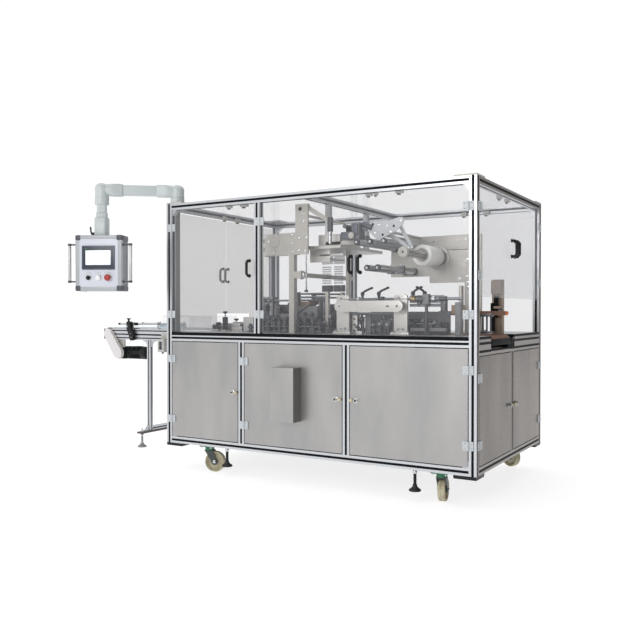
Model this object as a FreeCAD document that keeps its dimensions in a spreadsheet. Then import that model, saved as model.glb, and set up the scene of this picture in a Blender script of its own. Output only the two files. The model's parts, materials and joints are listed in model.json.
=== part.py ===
import FreeCAD, Part
import math
import os
import re

# Overwrapping machine: a framed cabinet on casters with an infeed conveyor.
# The machine is drawn from the front left corner of its frame: x runs along the front,
# y into the machine and z up from the underside of the bottom rails.

SIZES = {
    # frame of slotted bars
    "frame_long": 2000, "frame_deep": 1200, "frame_tall": 1480, "floor_gap": 160,
    "profile": 40, "slot_wide": 8, "slot_deep": 6,
    "deck_top": 672, "plate_thick": 14, "roof_beam_x": 980,
    "upper_post_x": 665, "seam_x": 1332, "lower_post_x": 553, "lower_post_far_x": 1252,
    "end_post_y": 580, "end_seam_y": 600, "outlet_top": 880,
    # plates, panels and doors
    "corner_side": 120, "corner_thick": 8, "foot_thick": 10,
    "door_gap": 5, "sheet_thick": 5, "steel_thick": 18,
    "leaf_wide": 28, "leaf_tall": 45, "leaf_thick": 5,
    "knuckle_radius": 6, "pin_radius": 2.5, "pin_play": 0.3, "knuckle_split": 22,
    "hinge_inset": 110,
    "grip_span": 90, "grip_bar": 13, "grip_stand": 38, "grip_base": 18, "grip_foot": 4, "grip_edge": 25,
    "lock_radius": 11, "lock_out": 14, "lock_edge": 38, "lock_drop": 295,
    "cover_x": 832, "cover_wide": 152, "cover_low": 200, "cover_tall": 300, "cover_out": 77,
    # feet and casters
    "level_x": 455, "level_inset": 334, "level_pad_radius": 32, "level_pad": 8,
    "level_cone": 14, "level_shoulder": 4, "level_neck": 3, "level_stem_radius": 8,
    "level_nut": 12, "level_nut_radius": 16, "level_drop": 110,
    "caster_x": 300, "caster_inset": 199, "caster_y": 50, "caster_plate": 90, "caster_plate_thick": 6,
    "race_radius": 28, "race_tall": 20, "wheel_radius": 62.5, "wheel_wide": 32,
    "hub_radius": 20, "axle_radius": 6, "caster_trail": 36, "fork_thick": 4, "fork_play": 3,
    # infeed conveyor
    "feed_start": -1110, "feed_end": 250, "feed_y": 530, "feed_wide": 300,
    "side_rail": 15, "side_rail_low": 606, "side_rail_tall": 80, "side_groove": 4,
    "belt_top": 695, "belt_thick": 3, "feed_roller": 27, "belt_margin": 3, "end_play": 5,
    "bed_thick": 5, "bed_play": 8, "web_thick": 20, "web_over": 6,
    "stand_x": -665, "stand_bar": 30, "stand_reach": 100, "stand_plate": 50, "stand_plate_low": -62,
    "stand_plate_thick": 12,
    "guard_x": -1053, "guard_z": 648, "guard_radius": 36, "guard_thick": 22,
    "guard_drop": 141, "guard_back": 101, "guard_low_radius": 42,
    "motor_y": 545, "motor_box": 100, "motor_radius": 48, "motor_long": 190, "motor_shaft": 10,
    "guide_z": 722, "guide_rod": 6, "guide_inset": 28, "guide_start": 128, "guide_stop": 20,
    "guide_post_start": 290, "guide_post_stop": 60, "guide_post_over": 14,
    "clamp_x": -850, "clamp_wide": 34, "clamp_tall": 137, "clamp_thick": 22, "clamp_over": 15,
    "knob_stem_radius": 5, "knob_stem": 20, "knob_radius": 15, "knob_thick": 8,
    "hood_x": -520, "hood_end": -80, "hood_top": 785, "hood_inset": 2, "door_cut_top": 800,
    "door_cut_margin": 35,
    "switch_x": -532, "switch_wide": 64, "switch_tall": 95, "switch_deep": 44,
    "switch_plate": 38, "switch_plate_thick": 4, "switch_hang": 50,
    "switch_button": 9, "switch_button_out": 8, "switch_button_low": 33, "switch_button_high": 62,
    # outfeed
    "out_y": 222, "out_wide": 413, "out_low": 615, "out_belt_long": 440, "out_roller": 20,
    "out_belt_gap": 14, "out_side": 12, "out_play": 2, "out_spare": 60, "out_side_past": 12,
    "out_side_over": 10, "out_tray_short": 40, "out_tray_thick": 10,
    "top_belt_wide": 55, "top_belt_low": 791, "top_belt_tall": 24, "top_belt_long": 420,
    "top_belt_inset": 35,
    # arm and control panel
    "arm_x": 47, "arm_y": 47, "arm_reach": 456, "arm_turn": 220, "arm_tube": 60,
    "arm_rise": 80, "elbow_radius": 43, "elbow_under": 92, "elbow_over": 42,
    "arm_flange": 30, "drop_radius": 31, "drop_long": 80, "coupling_radius": 40,
    "run_gap": 0.3,
    "panel_turn": 26, "panel_wide": 290, "panel_tall": 340, "panel_deep": 125,
    "coupling_long": 110, "panel_corner": 22, "bezel_wide": 204, "bezel_tall": 145,
    "bezel_out": 5, "bezel_drop": 44, "button_radius": 13, "button_out": 14,
    "button_space": 62, "button_rise": 80, "stop_radius": 20, "stop_out": 26, "stop_stem": 13,
    "rod_grip_radius": 9, "rod_grip_tall": 240, "rod_grip_out": 46, "rod_grip_y": -35, "grip_block": 20,
    # film unwind and rollers
    "wall_y": 600, "wall_thick": 15, "wall_x": 1255, "wall_inset": 180, "wall_low": 980,
    "wall_top": 1255, "wall_step_x": 1505, "wall_step": 40, "wall_post": 100, "outlet_post_inset": 60,
    "outlet_post": 58, "outlet_post_top": 992, "post_foot": 20,
    "reel_x": 1558, "reel_z": 1128, "spindle_radius": 24, "cap_radius": 28.5,
    "spindle_start": 100, "cap_long": 24, "reel_radius": 58.5, "reel_y": 358,
    "reel_wide": 194, "hub_disc_radius": 65, "hub_disc_y": 560, "hub_disc": 30,
    "journal_radius": 15, "journal_long": 50, "journal_play": 2, "bearing_radius": 45, "bearing_long": 60,
    "roller_radius": 17.5, "roller_start": 100, "low_roller_x": 1344, "low_roller_z": 1050,
    "low_roller_pitch": 64, "high_roller_x": 1281, "high_roller_z": 1192, "high_roller_pitch": 82,
    # side belt unit
    "unit_y": 120, "unit_deep": 60, "unit_x": 1113, "unit_far_x": 1550, "unit_low": 810,
    "unit_top": 872, "end_plate": 80, "end_plate_top": 905, "end_plate_thick": 15,
    "end_foot": 110, "unit_foot_deep": 90, "unit_foot_thick": 12, "unit_foot_front": 20,
    "unit_shaft_z": 880, "unit_shaft_radius": 9, "unit_shaft_end": 1860, "unit_shaft_inset": 40,
    "far_bracket": 60, "far_bracket_inset": 70,
    # lifting tower and carrier
    "tower_x": 790, "tower_y": 180, "tower_side": 35, "tower_top": 1147,
    "gear_x": 615, "gear_wide": 212, "gear_low": 1147, "gear_tall": 129, "gear_deep": 60,
    "tall_plate_x": 834, "tall_plate_wide": 86, "tall_plate_thick": 12,
    "carrier_x": 840, "carrier_wide": 260, "carrier_y": 250, "carrier_deep": 550,
    "carrier_z": 1180, "carrier_thick": 18, "hanger": 30, "hanger_inset": 20,
    "cross_rod_radius": 13.5, "cross_rod_x": 860, "cross_rod_z": 1028,
    "cross_rod_long": 610, "cross_bracket": 40, "tie_rod_radius": 8, "tie_rod_drop": 70,
    "tie_rod_long": 460, "tie_rod_inset": 10,
    # folding station
    "fold_x": 510, "fold_wide": 420, "fold_y": 340, "fold_deep": 330, "fold_base": 16,
    "fold_side": 16, "fold_tall": 172, "fold_bar": 26, "fold_bar_low": 60, "fold_bar_high": 129,
    "fold_bar_front": 30, "fold_bar_rear": 60, "heater_wide": 90, "heater_tall": 46,
    "heater_deep": 60, "heater_inset": 12, "heater_gap": 40,
    "stop_y": 290, "stop_deep": 70, "first_stop_x": 110, "first_stop_wide": 60, "first_stop_tall": 60,
    "second_stop_x": 275, "second_stop_wide": 80, "second_stop_tall": 84,
    "third_stop_x": 375, "third_stop_wide": 76, "third_stop_tall": 92,
    # where the middle of the footprint lies from the frame's corner
    "origin_x": 0, "origin_y": 0,
}

doc = FreeCAD.newDocument("OverwrappingMachine")
sheet = doc.addObject("Spreadsheet::Sheet", "Sizes")
for row, (alias, value) in enumerate(SIZES.items(), start=1):
    sheet.set(f"A{row}", alias.replace("_", " "))
    sheet.set(f"B{row}", str(value))
    sheet.setAlias(f"B{row}", alias)
doc.recompute()

UPRIGHT = FreeCAD.Rotation()
ALONG_X = FreeCAD.Rotation(FreeCAD.Vector(0, 1, 0), 90)
ALONG_Y = FreeCAD.Rotation(FreeCAD.Vector(1, 0, 0), -90)
STANDING = FreeCAD.Rotation(FreeCAD.Vector(1, 0, 0), 90)
SUB_PARTS = []


def cells(formula):
    """Write a formula so that each size in it points at its cell of the sheet."""
    def cell(word):
        return f"Sizes.{word[0]}" if word[0] in SIZES else word[0]
    return re.sub(r"[a-z_]+", cell, str(formula))


def place(thing, at):
    for axis, formula in zip("xyz", at):
        thing.setExpression(f"Placement.Base.{axis}", cells(formula))


def box(at, size):
    """A block from its lowest corner and its lengths along x, y and z."""
    block = doc.addObject("Part::Box", "Block")
    for name, formula in zip(("Length", "Width", "Height"), size):
        block.setExpression(name, cells(formula))
    place(block, at)
    return block


def rod(at, radius, length, turn=UPRIGHT):
    """A cylinder that starts at a point and runs along z, or along x or y when turned."""
    cylinder = doc.addObject("Part::Cylinder", "Rod")
    cylinder.Placement = FreeCAD.Placement(FreeCAD.Vector(), turn)
    cylinder.setExpression("Radius", cells(radius))
    cylinder.setExpression("Height", cells(length))
    place(cylinder, at)
    return cylinder


def cone(at, low_radius, high_radius, height):
    taper = doc.addObject("Part::Cone", "Taper")
    taper.setExpression("Radius1", cells(low_radius))
    taper.setExpression("Radius2", cells(high_radius))
    taper.setExpression("Height", cells(height))
    place(taper, at)
    return taper


def fuse(pieces):
    joined = doc.addObject("Part::MultiFuse", "Joined")
    joined.Shapes = pieces
    joined.Refine = True
    return joined


def cut(base, tools):
    left = doc.addObject("Part::Cut", "Trimmed")
    left.Base = base
    left.Tool = tools[0] if len(tools) == 1 else group(tools)
    return left


def group(pieces, at=("0", "0", "0"), angle=None):
    """Several pieces held together, moved to a place and turned about z."""
    bundle = doc.addObject("Part::Compound", "Group")
    bundle.Links = pieces
    if angle is not None:
        upright = FreeCAD.Rotation(FreeCAD.Vector(0, 0, 1), 1)
        bundle.Placement = FreeCAD.Placement(FreeCAD.Vector(), upright)
        bundle.setExpression("Placement.Rotation.Angle", cells(angle))
    place(bundle, at)
    return bundle


def sub_part(name, pieces):
    """One named sub-part, placed from the frame's corner to the middle of the footprint."""
    node = group(pieces, ("origin_x", "origin_y", "floor_gap"))
    node.Label = name
    SUB_PARTS.append(node)
    return node


ARM_Z = "(frame_tall + arm_rise)"
ELBOW_LOW = f"({ARM_Z} - elbow_under)"
DROP_LOW = f"({ELBOW_LOW} - drop_long)"
PANEL_TOP = f"({DROP_LOW} - coupling_long)"
PANEL_LOW = f"({PANEL_TOP} - panel_tall)"


# Slotted bars: square bars with a groove down the middle of each face.
def slotted_bar(at, length, along, cells_wide=(1, 1), notch=None, section="profile"):
    """A bar from its lowest corner; cells_wide is its section in bars on the two other axes."""
    axes = {"x": 0, "y": 1, "z": 2}
    run = axes[along]
    first, second = [axis for axis in (0, 1, 2) if axis != run]
    size = [section, section, section]
    size[run] = length
    size[first] = f"{section} * {cells_wide[0]}"
    size[second] = f"{section} * {cells_wide[1]}"
    body = box(at, size)
    grooves = []
    for across, deep in ((first, second), (second, first)):
        count = cells_wide[0] if across == first else cells_wide[1]
        for place_in_width in range(count):
            for side in ("0", f"{size[deep]} - slot_deep"):
                corner = list(at)
                lengths = [None, None, None]
                lengths[run] = length
                lengths[across] = "slot_wide"
                lengths[deep] = "slot_deep"
                corner[across] = f"{at[across]} + {section} * {place_in_width + 0.5} - slot_wide / 2"
                corner[deep] = f"{at[deep]} + {side}"
                grooves.append(box(corner, lengths))
    tools = grooves + ([notch] if notch else [])
    return cut(body, tools)


INNER_X = "frame_long - 2 * profile"
INNER_Y = "frame_deep - 2 * profile"
FAR_X = "frame_long - profile"
FAR_Y = "frame_deep - profile"
TOP_LOW = "frame_tall - profile"
DECK_LOW = "deck_top - profile"
PLATE_TOP = "deck_top + plate_thick"
RAIL_TOP = "side_rail_low + side_rail_tall"
RETURN_Z = "belt_top - 2 * (feed_roller + belt_thick)"
STAND_Y = "feed_y - stand_reach"
STAND_LONG = "(feed_wide + 2 * stand_reach)"
STAND_TOP = "(stand_plate_low + stand_plate_thick)"
STAND_FEET = (f"{STAND_Y} + stand_plate / 2", f"{STAND_Y} + {STAND_LONG} - stand_plate / 2")


def frame_bars():
    sub_part("corner_posts", [
        slotted_bar((x, y, "0"), "frame_tall", "z")
        for x in ("0", FAR_X) for y in ("0", FAR_Y)])
    sub_part("long_rails", [
        slotted_bar(("profile", y, z), INNER_X, "x")
        for y in ("0", FAR_Y) for z in ("0", DECK_LOW, TOP_LOW)])
    feed_notch = box(("-profile", "feed_y - door_gap", f"{RETURN_Z} - door_gap"),
                     ("3 * profile", "feed_wide + 2 * door_gap", "3 * profile"))
    out_notch = box((f"{FAR_X} - profile", "out_y", "out_low"),
                    ("3 * profile", "out_wide", "3 * profile"))
    rails = []
    for x, notch in (("0", feed_notch), (FAR_X, out_notch)):
        rails.append(slotted_bar((x, "profile", "0"), INNER_Y, "y"))
        double = slotted_bar((x, "profile", "deck_top - 2 * profile"), INNER_Y, "y", (1, 2), notch)
        rails.append(double)
        rails.append(slotted_bar((x, "profile", TOP_LOW), INNER_Y, "y"))
    rails.append(slotted_bar(("roof_beam_x", "profile", TOP_LOW), INNER_Y, "y"))
    for x in ("caster_x - profile / 2", "frame_long - caster_inset - profile / 2"):
        rails.append(slotted_bar((x, "profile", "0"), INNER_Y, "y"))
    sub_part("cross_rails", rails)
    upper = f"{TOP_LOW} - deck_top - plate_thick"
    lower = f"{DECK_LOW} - profile"
    posts = [slotted_bar(("upper_post_x", y, PLATE_TOP), upper, "z") for y in ("0", FAR_Y)]
    posts += [slotted_bar((x, y, "profile"), lower, "z")
              for x in ("lower_post_x", "lower_post_far_x") for y in ("0", FAR_Y)]
    posts += [slotted_bar((x, "end_post_y", "profile"), "deck_top - 3 * profile", "z")
              for x in ("0", FAR_X)]
    sub_part("mid_posts", posts)


def infeed_hood():
    """Clear channel that stands on the conveyor's side rails, open at both ends."""
    wall_y = "feed_y + hood_inset"
    hood_wide = "feed_wide - 2 * hood_inset"
    shell = box(("hood_x", wall_y, RAIL_TOP),
                ("hood_end - hood_x", hood_wide, f"hood_top - ({RAIL_TOP})"))
    core = box(("hood_x - 1", f"{wall_y} + sheet_thick", f"{RAIL_TOP} - 1"),
               ("hood_end - hood_x + 2", f"{hood_wide} - 2 * sheet_thick",
                f"hood_top - sheet_thick - ({RAIL_TOP}) + 1"))
    return cut(shell, [core])


def plates_and_panels():
    plates = []
    for x in ("0", "frame_long - corner_side"):
        for y in ("0", "frame_deep - corner_side"):
            plates.append(box((x, y, "frame_tall"), ("corner_side", "corner_side", "corner_thick")))
            plates.append(box((x, y, "-foot_thick"), ("corner_side", "corner_side", "foot_thick")))
    flange = rod(("arm_x", "arm_y", "frame_tall + corner_thick"), "elbow_radius", "arm_flange")
    plates[0] = fuse([plates[0], flange])
    sub_part("corner_plates", plates)
    whole = box(("0", "0", "deck_top"), ("frame_long", "frame_deep", "plate_thick"))
    holes = [box((x, y, "deck_top - 1"), ("profile", "profile", "plate_thick + 2"))
             for x in ("0", FAR_X) for y in ("0", FAR_Y)]
    holes.append(box(("-1", "feed_y - door_gap", "deck_top - 1"),
                     ("feed_end + door_gap + 1", "feed_wide + 2 * door_gap", "plate_thick + 2")))
    holes.append(box(("frame_long - out_belt_long", "out_y", "deck_top - 1"),
                     ("out_belt_long + 1", "out_wide", "plate_thick + 2")))
    sub_part("deck_plate", [cut(whole, holes)])
    slot_side = "profile / 2 - slot_wide / 2"
    tuck = "profile - slot_deep / 2"
    roof = []
    for x, far in (("profile", "roof_beam_x + slot_deep / 2"),
                   ("roof_beam_x + profile - slot_deep / 2", FAR_X)):
        roof.append(box((x, tuck, f"{TOP_LOW} + {slot_side}"),
                        (f"{far} - ({x})", f"frame_deep - 2 * ({tuck})", "sheet_thick")))
    rear = []
    for x, far in ((tuck, "upper_post_x + slot_deep / 2"),
                   ("upper_post_x + profile - slot_deep / 2", f"frame_long - ({tuck})")):
        rear.append(box((x, f"{FAR_Y} + {slot_side}", PLATE_TOP),
                        (f"{far} - ({x})", "sheet_thick", f"{TOP_LOW} - ({PLATE_TOP})")))
    sub_part("clear_panels", roof + rear + [infeed_hood()])
    steel = []
    bays = (("profile", "lower_post_x"), ("lower_post_x + profile", "lower_post_far_x"),
            ("lower_post_far_x + profile", FAR_X))
    for x, far in bays:
        steel.append(box((x, "frame_deep - steel_thick", "profile"),
                         (f"{far} - ({x})", "steel_thick", f"{DECK_LOW} - profile")))
    for y, far in (("profile", "end_post_y"), ("end_post_y + profile", FAR_Y)):
        steel.append(box(("0", y, "profile"),
                         ("steel_thick", f"{far} - ({y})", "deck_top - 3 * profile")))
    sub_part("steel_panels", steel)


# Feet and casters.
def levelling_foot(x, y, low, high):
    """A round pad at a height, with its stem screwed up into what stands on it."""
    cone_low = f"{low} + level_pad"
    return fuse([
        rod((x, y, low), "level_pad_radius", "level_pad"),
        cone((x, y, cone_low), "level_pad_radius - level_shoulder", "level_stem_radius + level_neck",
             "level_cone"),
        rod((x, y, cone_low), "level_stem_radius", f"{high} - ({cone_low})"),
        rod((x, y, f"{high} - level_nut"), "level_nut_radius", "level_nut")])


CASTERS = {
    # name: (x, y, turn of the fork about z)
    "front_left": ("caster_x", "caster_y", 20),
    "front_right": ("frame_long - caster_inset", "caster_y", 100),
    "rear_left": ("caster_x", "frame_deep - caster_y", 200),
    "rear_right": ("frame_long - caster_inset", "frame_deep - caster_y", 335),
}


def feet():
    raised = [levelling_foot(x, y, "-level_drop", "0")
              for x in ("level_x", "frame_long - level_inset")
              for y in ("profile / 2", "frame_deep - profile / 2")]
    under_stand = [levelling_foot("stand_x + stand_bar / 2", y, "-floor_gap", "stand_plate_low")
                   for y in STAND_FEET]
    sub_part("levelling_feet", raised + under_stand)
    mounts = []
    for x, y, turn in CASTERS.values():
        plate = box((f"{x} - caster_plate / 2", f"{y} - caster_plate / 2", "-caster_plate_thick"),
                    ("caster_plate", "caster_plate", "caster_plate_thick"))
        race = rod((x, y, "-caster_plate_thick - race_tall"), "race_radius", "race_tall")
        mounts.append(fuse([plate, race]))
    sub_part("caster_plates", mounts)
    crown_top = "-caster_plate_thick - race_tall - run_gap"
    axle_z = "wheel_radius - floor_gap"
    inner = "wheel_wide / 2 + fork_play"
    for name, (x, y, turn) in CASTERS.items():
        crown = box(("-race_radius", f"-({inner}) - fork_thick", f"{crown_top} - fork_thick"),
                    ("race_radius * 2", f"2 * ({inner}) + 2 * fork_thick", "fork_thick"))
        pieces = [crown]
        for side in (f"-({inner}) - fork_thick", inner):
            leg = doc.addObject("Part::Wedge", "Leg")
            leg.Placement = FreeCAD.Placement(FreeCAD.Vector(), STANDING)
            limits = {
                "Xmin": "caster_trail - hub_radius", "Xmax": "caster_trail + hub_radius",
                "X2min": "-race_radius", "X2max": "race_radius",
                "Ymin": f"{axle_z} - hub_radius / 2", "Ymax": f"{crown_top} - fork_thick",
                "Zmin": "0", "Zmax": "fork_thick", "Z2min": "0", "Z2max": "fork_thick"}
            for prop, formula in limits.items():
                leg.setExpression(prop, cells(formula))
            place(leg, ("0", f"{side} + fork_thick", "0"))
            pieces.append(leg)
        pieces.append(rod(("caster_trail", f"-({inner}) - fork_thick", axle_z),
                          "axle_radius", f"2 * ({inner}) + 2 * fork_thick", ALONG_Y))
        fork = fuse(pieces)
        sub_part(f"caster_fork_{name}", [group([fork], (x, y, "0"), turn)])
        tread = rod(("caster_trail", "-wheel_wide / 2", axle_z), "wheel_radius", "wheel_wide", ALONG_Y)
        hub = rod(("caster_trail", "-wheel_wide / 2 - fork_play + 1", axle_z), "hub_radius",
                  "wheel_wide + 2 * fork_play - 2", ALONG_Y)
        bore = rod(("caster_trail", "-wheel_wide", axle_z), "axle_radius + run_gap / 2",
                   "2 * wheel_wide", ALONG_Y)
        wheel = cut(fuse([tread, hub]), [bore])
        sub_part(f"caster_wheel_{name}", [group([wheel], (x, y, "0"), turn)])


# Doors: each is drawn on its own face of the frame, x to the right as seen from outside,
# y into the machine, and then turned with the face.
FACES = {
    "front": (("0", "0", "0"), 0),
    "right": (("frame_long", "0", "0"), 90),
    "left": (("0", "frame_deep", "0"), 270),
}
DOORS = {
    # name: (face, left edge, right edge, hinge side, low edge, high edge)
    "front_left_door": ("front", "profile", "upper_post_x", "left", PLATE_TOP, TOP_LOW),
    "front_middle_door": ("front", "upper_post_x + profile", "seam_x + door_gap / 2", "left",
                          PLATE_TOP, TOP_LOW),
    "front_right_door": ("front", "seam_x - door_gap / 2", FAR_X, "right", PLATE_TOP, TOP_LOW),
    "outlet_near_door": ("right", "profile", "end_seam_y + door_gap / 2", "left",
                         "outlet_top", TOP_LOW),
    "outlet_far_door": ("right", "end_seam_y - door_gap / 2", FAR_Y, "right", "outlet_top", TOP_LOW),
    "infeed_far_door": ("left", "profile", "frame_deep - end_seam_y + door_gap / 2", "left",
                        PLATE_TOP, TOP_LOW),
    "infeed_near_door": ("left", "frame_deep - end_seam_y - door_gap / 2", FAR_Y, "right",
                         PLATE_TOP, TOP_LOW),
    "lower_left_door": ("front", "profile", "lower_post_x", "left", "profile", DECK_LOW),
    "lower_middle_door": ("front", "lower_post_x + profile", "lower_post_far_x", "left",
                          "profile", DECK_LOW),
    "lower_right_door": ("front", "lower_post_far_x + profile", FAR_X, "right", "profile", DECK_LOW),
    "lower_outlet_near_door": ("right", "profile", "end_post_y", "left",
                               "profile", "deck_top - 2 * profile"),
    "lower_outlet_far_door": ("right", "end_post_y + profile", FAR_Y, "right",
                              "profile", "deck_top - 2 * profile"),
}


def hinge_places(low, high):
    """Heights of the two hinges of a door, as the underside of their leaves."""
    return (f"{low} + hinge_inset - leaf_tall / 2", f"{high} - hinge_inset - leaf_tall / 2")


def leaf(post_edge, side, z, moving):
    """One leaf with its knuckle; post_edge is where the post ends and the door begins."""
    toward_door = 1 if side == "left" else -1
    axis_x = f"{post_edge} + {toward_door} * door_gap / 2"
    on_door = toward_door > 0 if moving else toward_door < 0
    x = f"{axis_x} + pin_play" if on_door else f"{axis_x} - pin_play - leaf_wide"
    plate = box((x, "-leaf_thick", z), ("leaf_wide", "leaf_thick", "leaf_tall"))
    centre = (axis_x, "-knuckle_radius", z)
    split = f"{z} + knuckle_split"
    if moving:
        barrel = rod((axis_x, "-knuckle_radius", f"{split} + run_gap"), "knuckle_radius",
                     "leaf_tall - knuckle_split - run_gap")
        bore = rod((axis_x, "-knuckle_radius", split), "pin_radius + pin_play", "leaf_tall")
        clear = rod((axis_x, "-knuckle_radius", f"{z} - 1"), "knuckle_radius + run_gap",
                    "knuckle_split + 1 + run_gap")
        return cut(fuse([plate, barrel]), [bore, clear])
    barrel = rod(centre, "knuckle_radius", "knuckle_split")
    pin = rod(centre, "pin_radius", "leaf_tall")
    clear = cut(rod((axis_x, "-knuckle_radius", split), "knuckle_radius + run_gap", "leaf_tall"),
                [rod((axis_x, "-knuckle_radius", f"{split} - 1"), "pin_radius", "leaf_tall + 2")])
    return cut(fuse([plate, barrel, pin]), [clear])


def grip(x, z):
    """A D-shaped pull handle that stands on the door's outer face."""
    half = "grip_span / 2"
    held = box((f"{x} - grip_bar / 2", "-grip_stand", f"{z} - {half}"),
               ("grip_bar", "grip_bar", "grip_span"))
    ends = []
    for end in (f"{z} + {half}", f"{z} - {half}"):
        ends.append(box((f"{x} - grip_bar / 2", "-grip_stand", f"{end} - grip_bar / 2"),
                        ("grip_bar", "grip_stand", "grip_bar")))
        ends.append(box((f"{x} - grip_base / 2", "-grip_foot", f"{end} - grip_base / 2"),
                        ("grip_base", "grip_foot", "grip_base")))
    return fuse(ends + [held])


def doors():
    fixed = []
    for name, (face, left, right, side, low, high) in DOORS.items():
        corner, turn = FACES[face]
        post_edge = left if side == "left" else right
        hinges = hinge_places(low, high)
        fixed.append(group([leaf(post_edge, side, z, moving=False) for z in hinges], corner, turn))
        moving = [leaf(post_edge, side, z, moving=True) for z in hinges]
        thick = "steel_thick" if name.startswith("lower") else "sheet_thick"
        panel = box((f"{left} + door_gap", "0", f"{low} + door_gap"),
                    (f"{right} - door_gap - ({left} + door_gap)", thick, f"{high} - ({low}) - 2 * door_gap"))
        free_edge = f"{right} - door_gap" if side == "left" else f"{left} + door_gap"
        inward = "-" if side == "left" else "+"
        if name.startswith("lower"):
            lock_x = f"{free_edge} {inward} lock_edge"
            lock = rod((lock_x, "-lock_out", f"{high} - lock_drop"), "lock_radius", "lock_out", ALONG_Y)
            pieces = [panel, lock] + moving
            if name == "lower_middle_door":
                pieces.append(box(("cover_x", "-cover_out", "cover_low"),
                                  ("cover_wide", "cover_out", "cover_tall")))
            sub_part(name, [group([fuse(pieces)], corner, turn)])
            continue
        if face == "left":
            near = "frame_deep - feed_y - feed_wide - door_cut_margin"
            wide = "feed_wide + 2 * door_cut_margin"
            cut_out = box((near, "-1", "deck_top"), (wide, "sheet_thick + 2", "door_cut_top - deck_top"))
            panel = cut(panel, [cut_out])
        sub_part(name, [group([panel], corner, turn)])
        handle = grip(f"{free_edge} {inward} grip_edge", f"({low} + {high}) / 2")
        sub_part(f"{name}_fittings", [group([handle] + moving, corner, turn)])
    sub_part("fixed_hinge_leaves", fixed)


# Infeed conveyor.
SIDE_GROOVES = 3
WEBS = 5


def loop_shape(x, far_x, y, wide, z, radius):
    """A flat belt's outline: two round ends joined by straight runs, wide along y."""
    return fuse([
        rod((x, y, z), radius, wide, ALONG_Y), rod((far_x, y, z), radius, wide, ALONG_Y),
        box((x, y, f"{z} - ({radius})"), (f"{far_x} - ({x})", wide, f"2 * ({radius})"))])


def infeed():
    near = "feed_y"
    far = "feed_y + feed_wide - side_rail"
    inside_y = "feed_y + side_rail"
    inside = "feed_wide - 2 * side_rail"
    roller_z = "belt_top - belt_thick - feed_roller"
    start = "feed_start + feed_roller + belt_thick + end_play"
    stop = "feed_end - feed_roller - belt_thick - end_play"
    bed_top = "belt_top - belt_thick"
    rails = []
    for y, outer_face in ((near, near), (far, f"{far} + side_rail - side_groove")):
        outside = box(("feed_start", y, "side_rail_low"), ("-feed_start", "side_rail", "side_rail_tall"))
        grooves = []
        for step in range(SIDE_GROOVES):
            middle = f"side_rail_low + side_rail_tall * {(step + 0.5) / SIDE_GROOVES}"
            grooves.append(box(("feed_start", outer_face, f"{middle} - slot_wide / 2"),
                               ("-feed_start", "side_groove", "slot_wide")))
        rails.append(cut(outside, grooves))
        rails.append(box(("0", y, RETURN_Z), ("feed_end", "side_rail", f"{RAIL_TOP} - ({RETURN_Z})")))
    bed_start = f"{start} + feed_roller + bed_play"
    bed_long = f"{stop} - ({start}) - 2 * (feed_roller + bed_play)"
    bed = box((bed_start, f"{inside_y} + belt_margin", f"{bed_top} - bed_thick"),
              (bed_long, f"{inside} - 2 * belt_margin", "bed_thick"))
    web_low = "belt_top - 2 * feed_roller - belt_thick + web_over"
    webs = []
    for step in range(WEBS):
        webs.append(box((f"{bed_start} + ({bed_long} - web_thick) * {step / (WEBS - 1)}", inside_y, web_low),
                        ("web_thick", inside, f"{bed_top} - bed_thick - ({web_low})")))
    rollers = [rod((x, inside_y, roller_z), "feed_roller", inside, ALONG_Y) for x in (start, stop)]
    sub_part("conveyor_frame", [fuse(rails + [bed] + webs + rollers)])
    belt_y = f"{inside_y} + belt_margin"
    belt_wide = f"{inside} - 2 * belt_margin"
    outer = loop_shape(start, stop, belt_y, belt_wide, roller_z, "feed_roller + belt_thick")
    hollow = loop_shape(start, stop, f"{belt_y} - 1", f"{belt_wide} + 2", roller_z, "feed_roller")
    sub_part("conveyor_belt", [cut(outer, [hollow])])
    legs = []
    for y in ("feed_y - stand_bar / 2 + side_rail / 2", "feed_y + feed_wide - side_rail / 2 - stand_bar / 2"):
        legs.append(slotted_bar(("stand_x", y, STAND_TOP), f"side_rail_low - {STAND_TOP}", "z",
                                section="stand_bar"))
    base = box(("stand_x + stand_bar / 2 - stand_plate / 2", STAND_Y, "stand_plate_low"),
               ("stand_plate", STAND_LONG, "stand_plate_thick"))
    tie = slotted_bar(("stand_x", "feed_y + side_rail / 2 + stand_bar / 2", STAND_TOP),
                      "feed_wide - side_rail - stand_bar", "y", section="stand_bar")
    sub_part("conveyor_stand", [fuse(legs + [base, tie])])


def conveyor_drive():
    guard_y = "feed_y - guard_thick"
    low_x = "guard_x + guard_back"
    low_z = "guard_z - guard_drop"
    ends = [rod(("guard_x", guard_y, "guard_z"), "guard_radius", "guard_thick", ALONG_Y),
            rod((low_x, guard_y, low_z), "guard_low_radius", "guard_thick", ALONG_Y)]
    middle = doc.addObject("Part::Feature", "GuardMiddle")
    value = {name: float(sheet.get(name)) for name in SIZES}
    middle.Shape = tangent_block(
        (value["guard_x"], value["guard_z"]), value["guard_radius"],
        (value["guard_x"] + value["guard_back"], value["guard_z"] - value["guard_drop"]),
        value["guard_low_radius"], value["feed_y"] - value["guard_thick"], value["guard_thick"])
    sub_part("drive_guard", [fuse(ends + [middle])])
    half = "motor_box / 2"
    gearbox = box((f"{low_x} - {half}", "motor_y", f"{low_z} - {half}"),
                  ("motor_box", "motor_box", "motor_box"))
    shaft = rod((low_x, "feed_y", low_z), "motor_shaft", "motor_y - feed_y", ALONG_Y)
    motor = rod((f"{low_x} + {half}", f"motor_y + {half}", low_z), "motor_radius", "motor_long", ALONG_X)
    hanger = box((f"{low_x} - {half}", "motor_y", f"{low_z} + {half}"),
                 ("motor_box", "side_rail", f"side_rail_low - ({low_z}) - {half} + side_rail"))
    sub_part("drive_motor", [fuse([gearbox, shaft, motor, hanger])])


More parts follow.
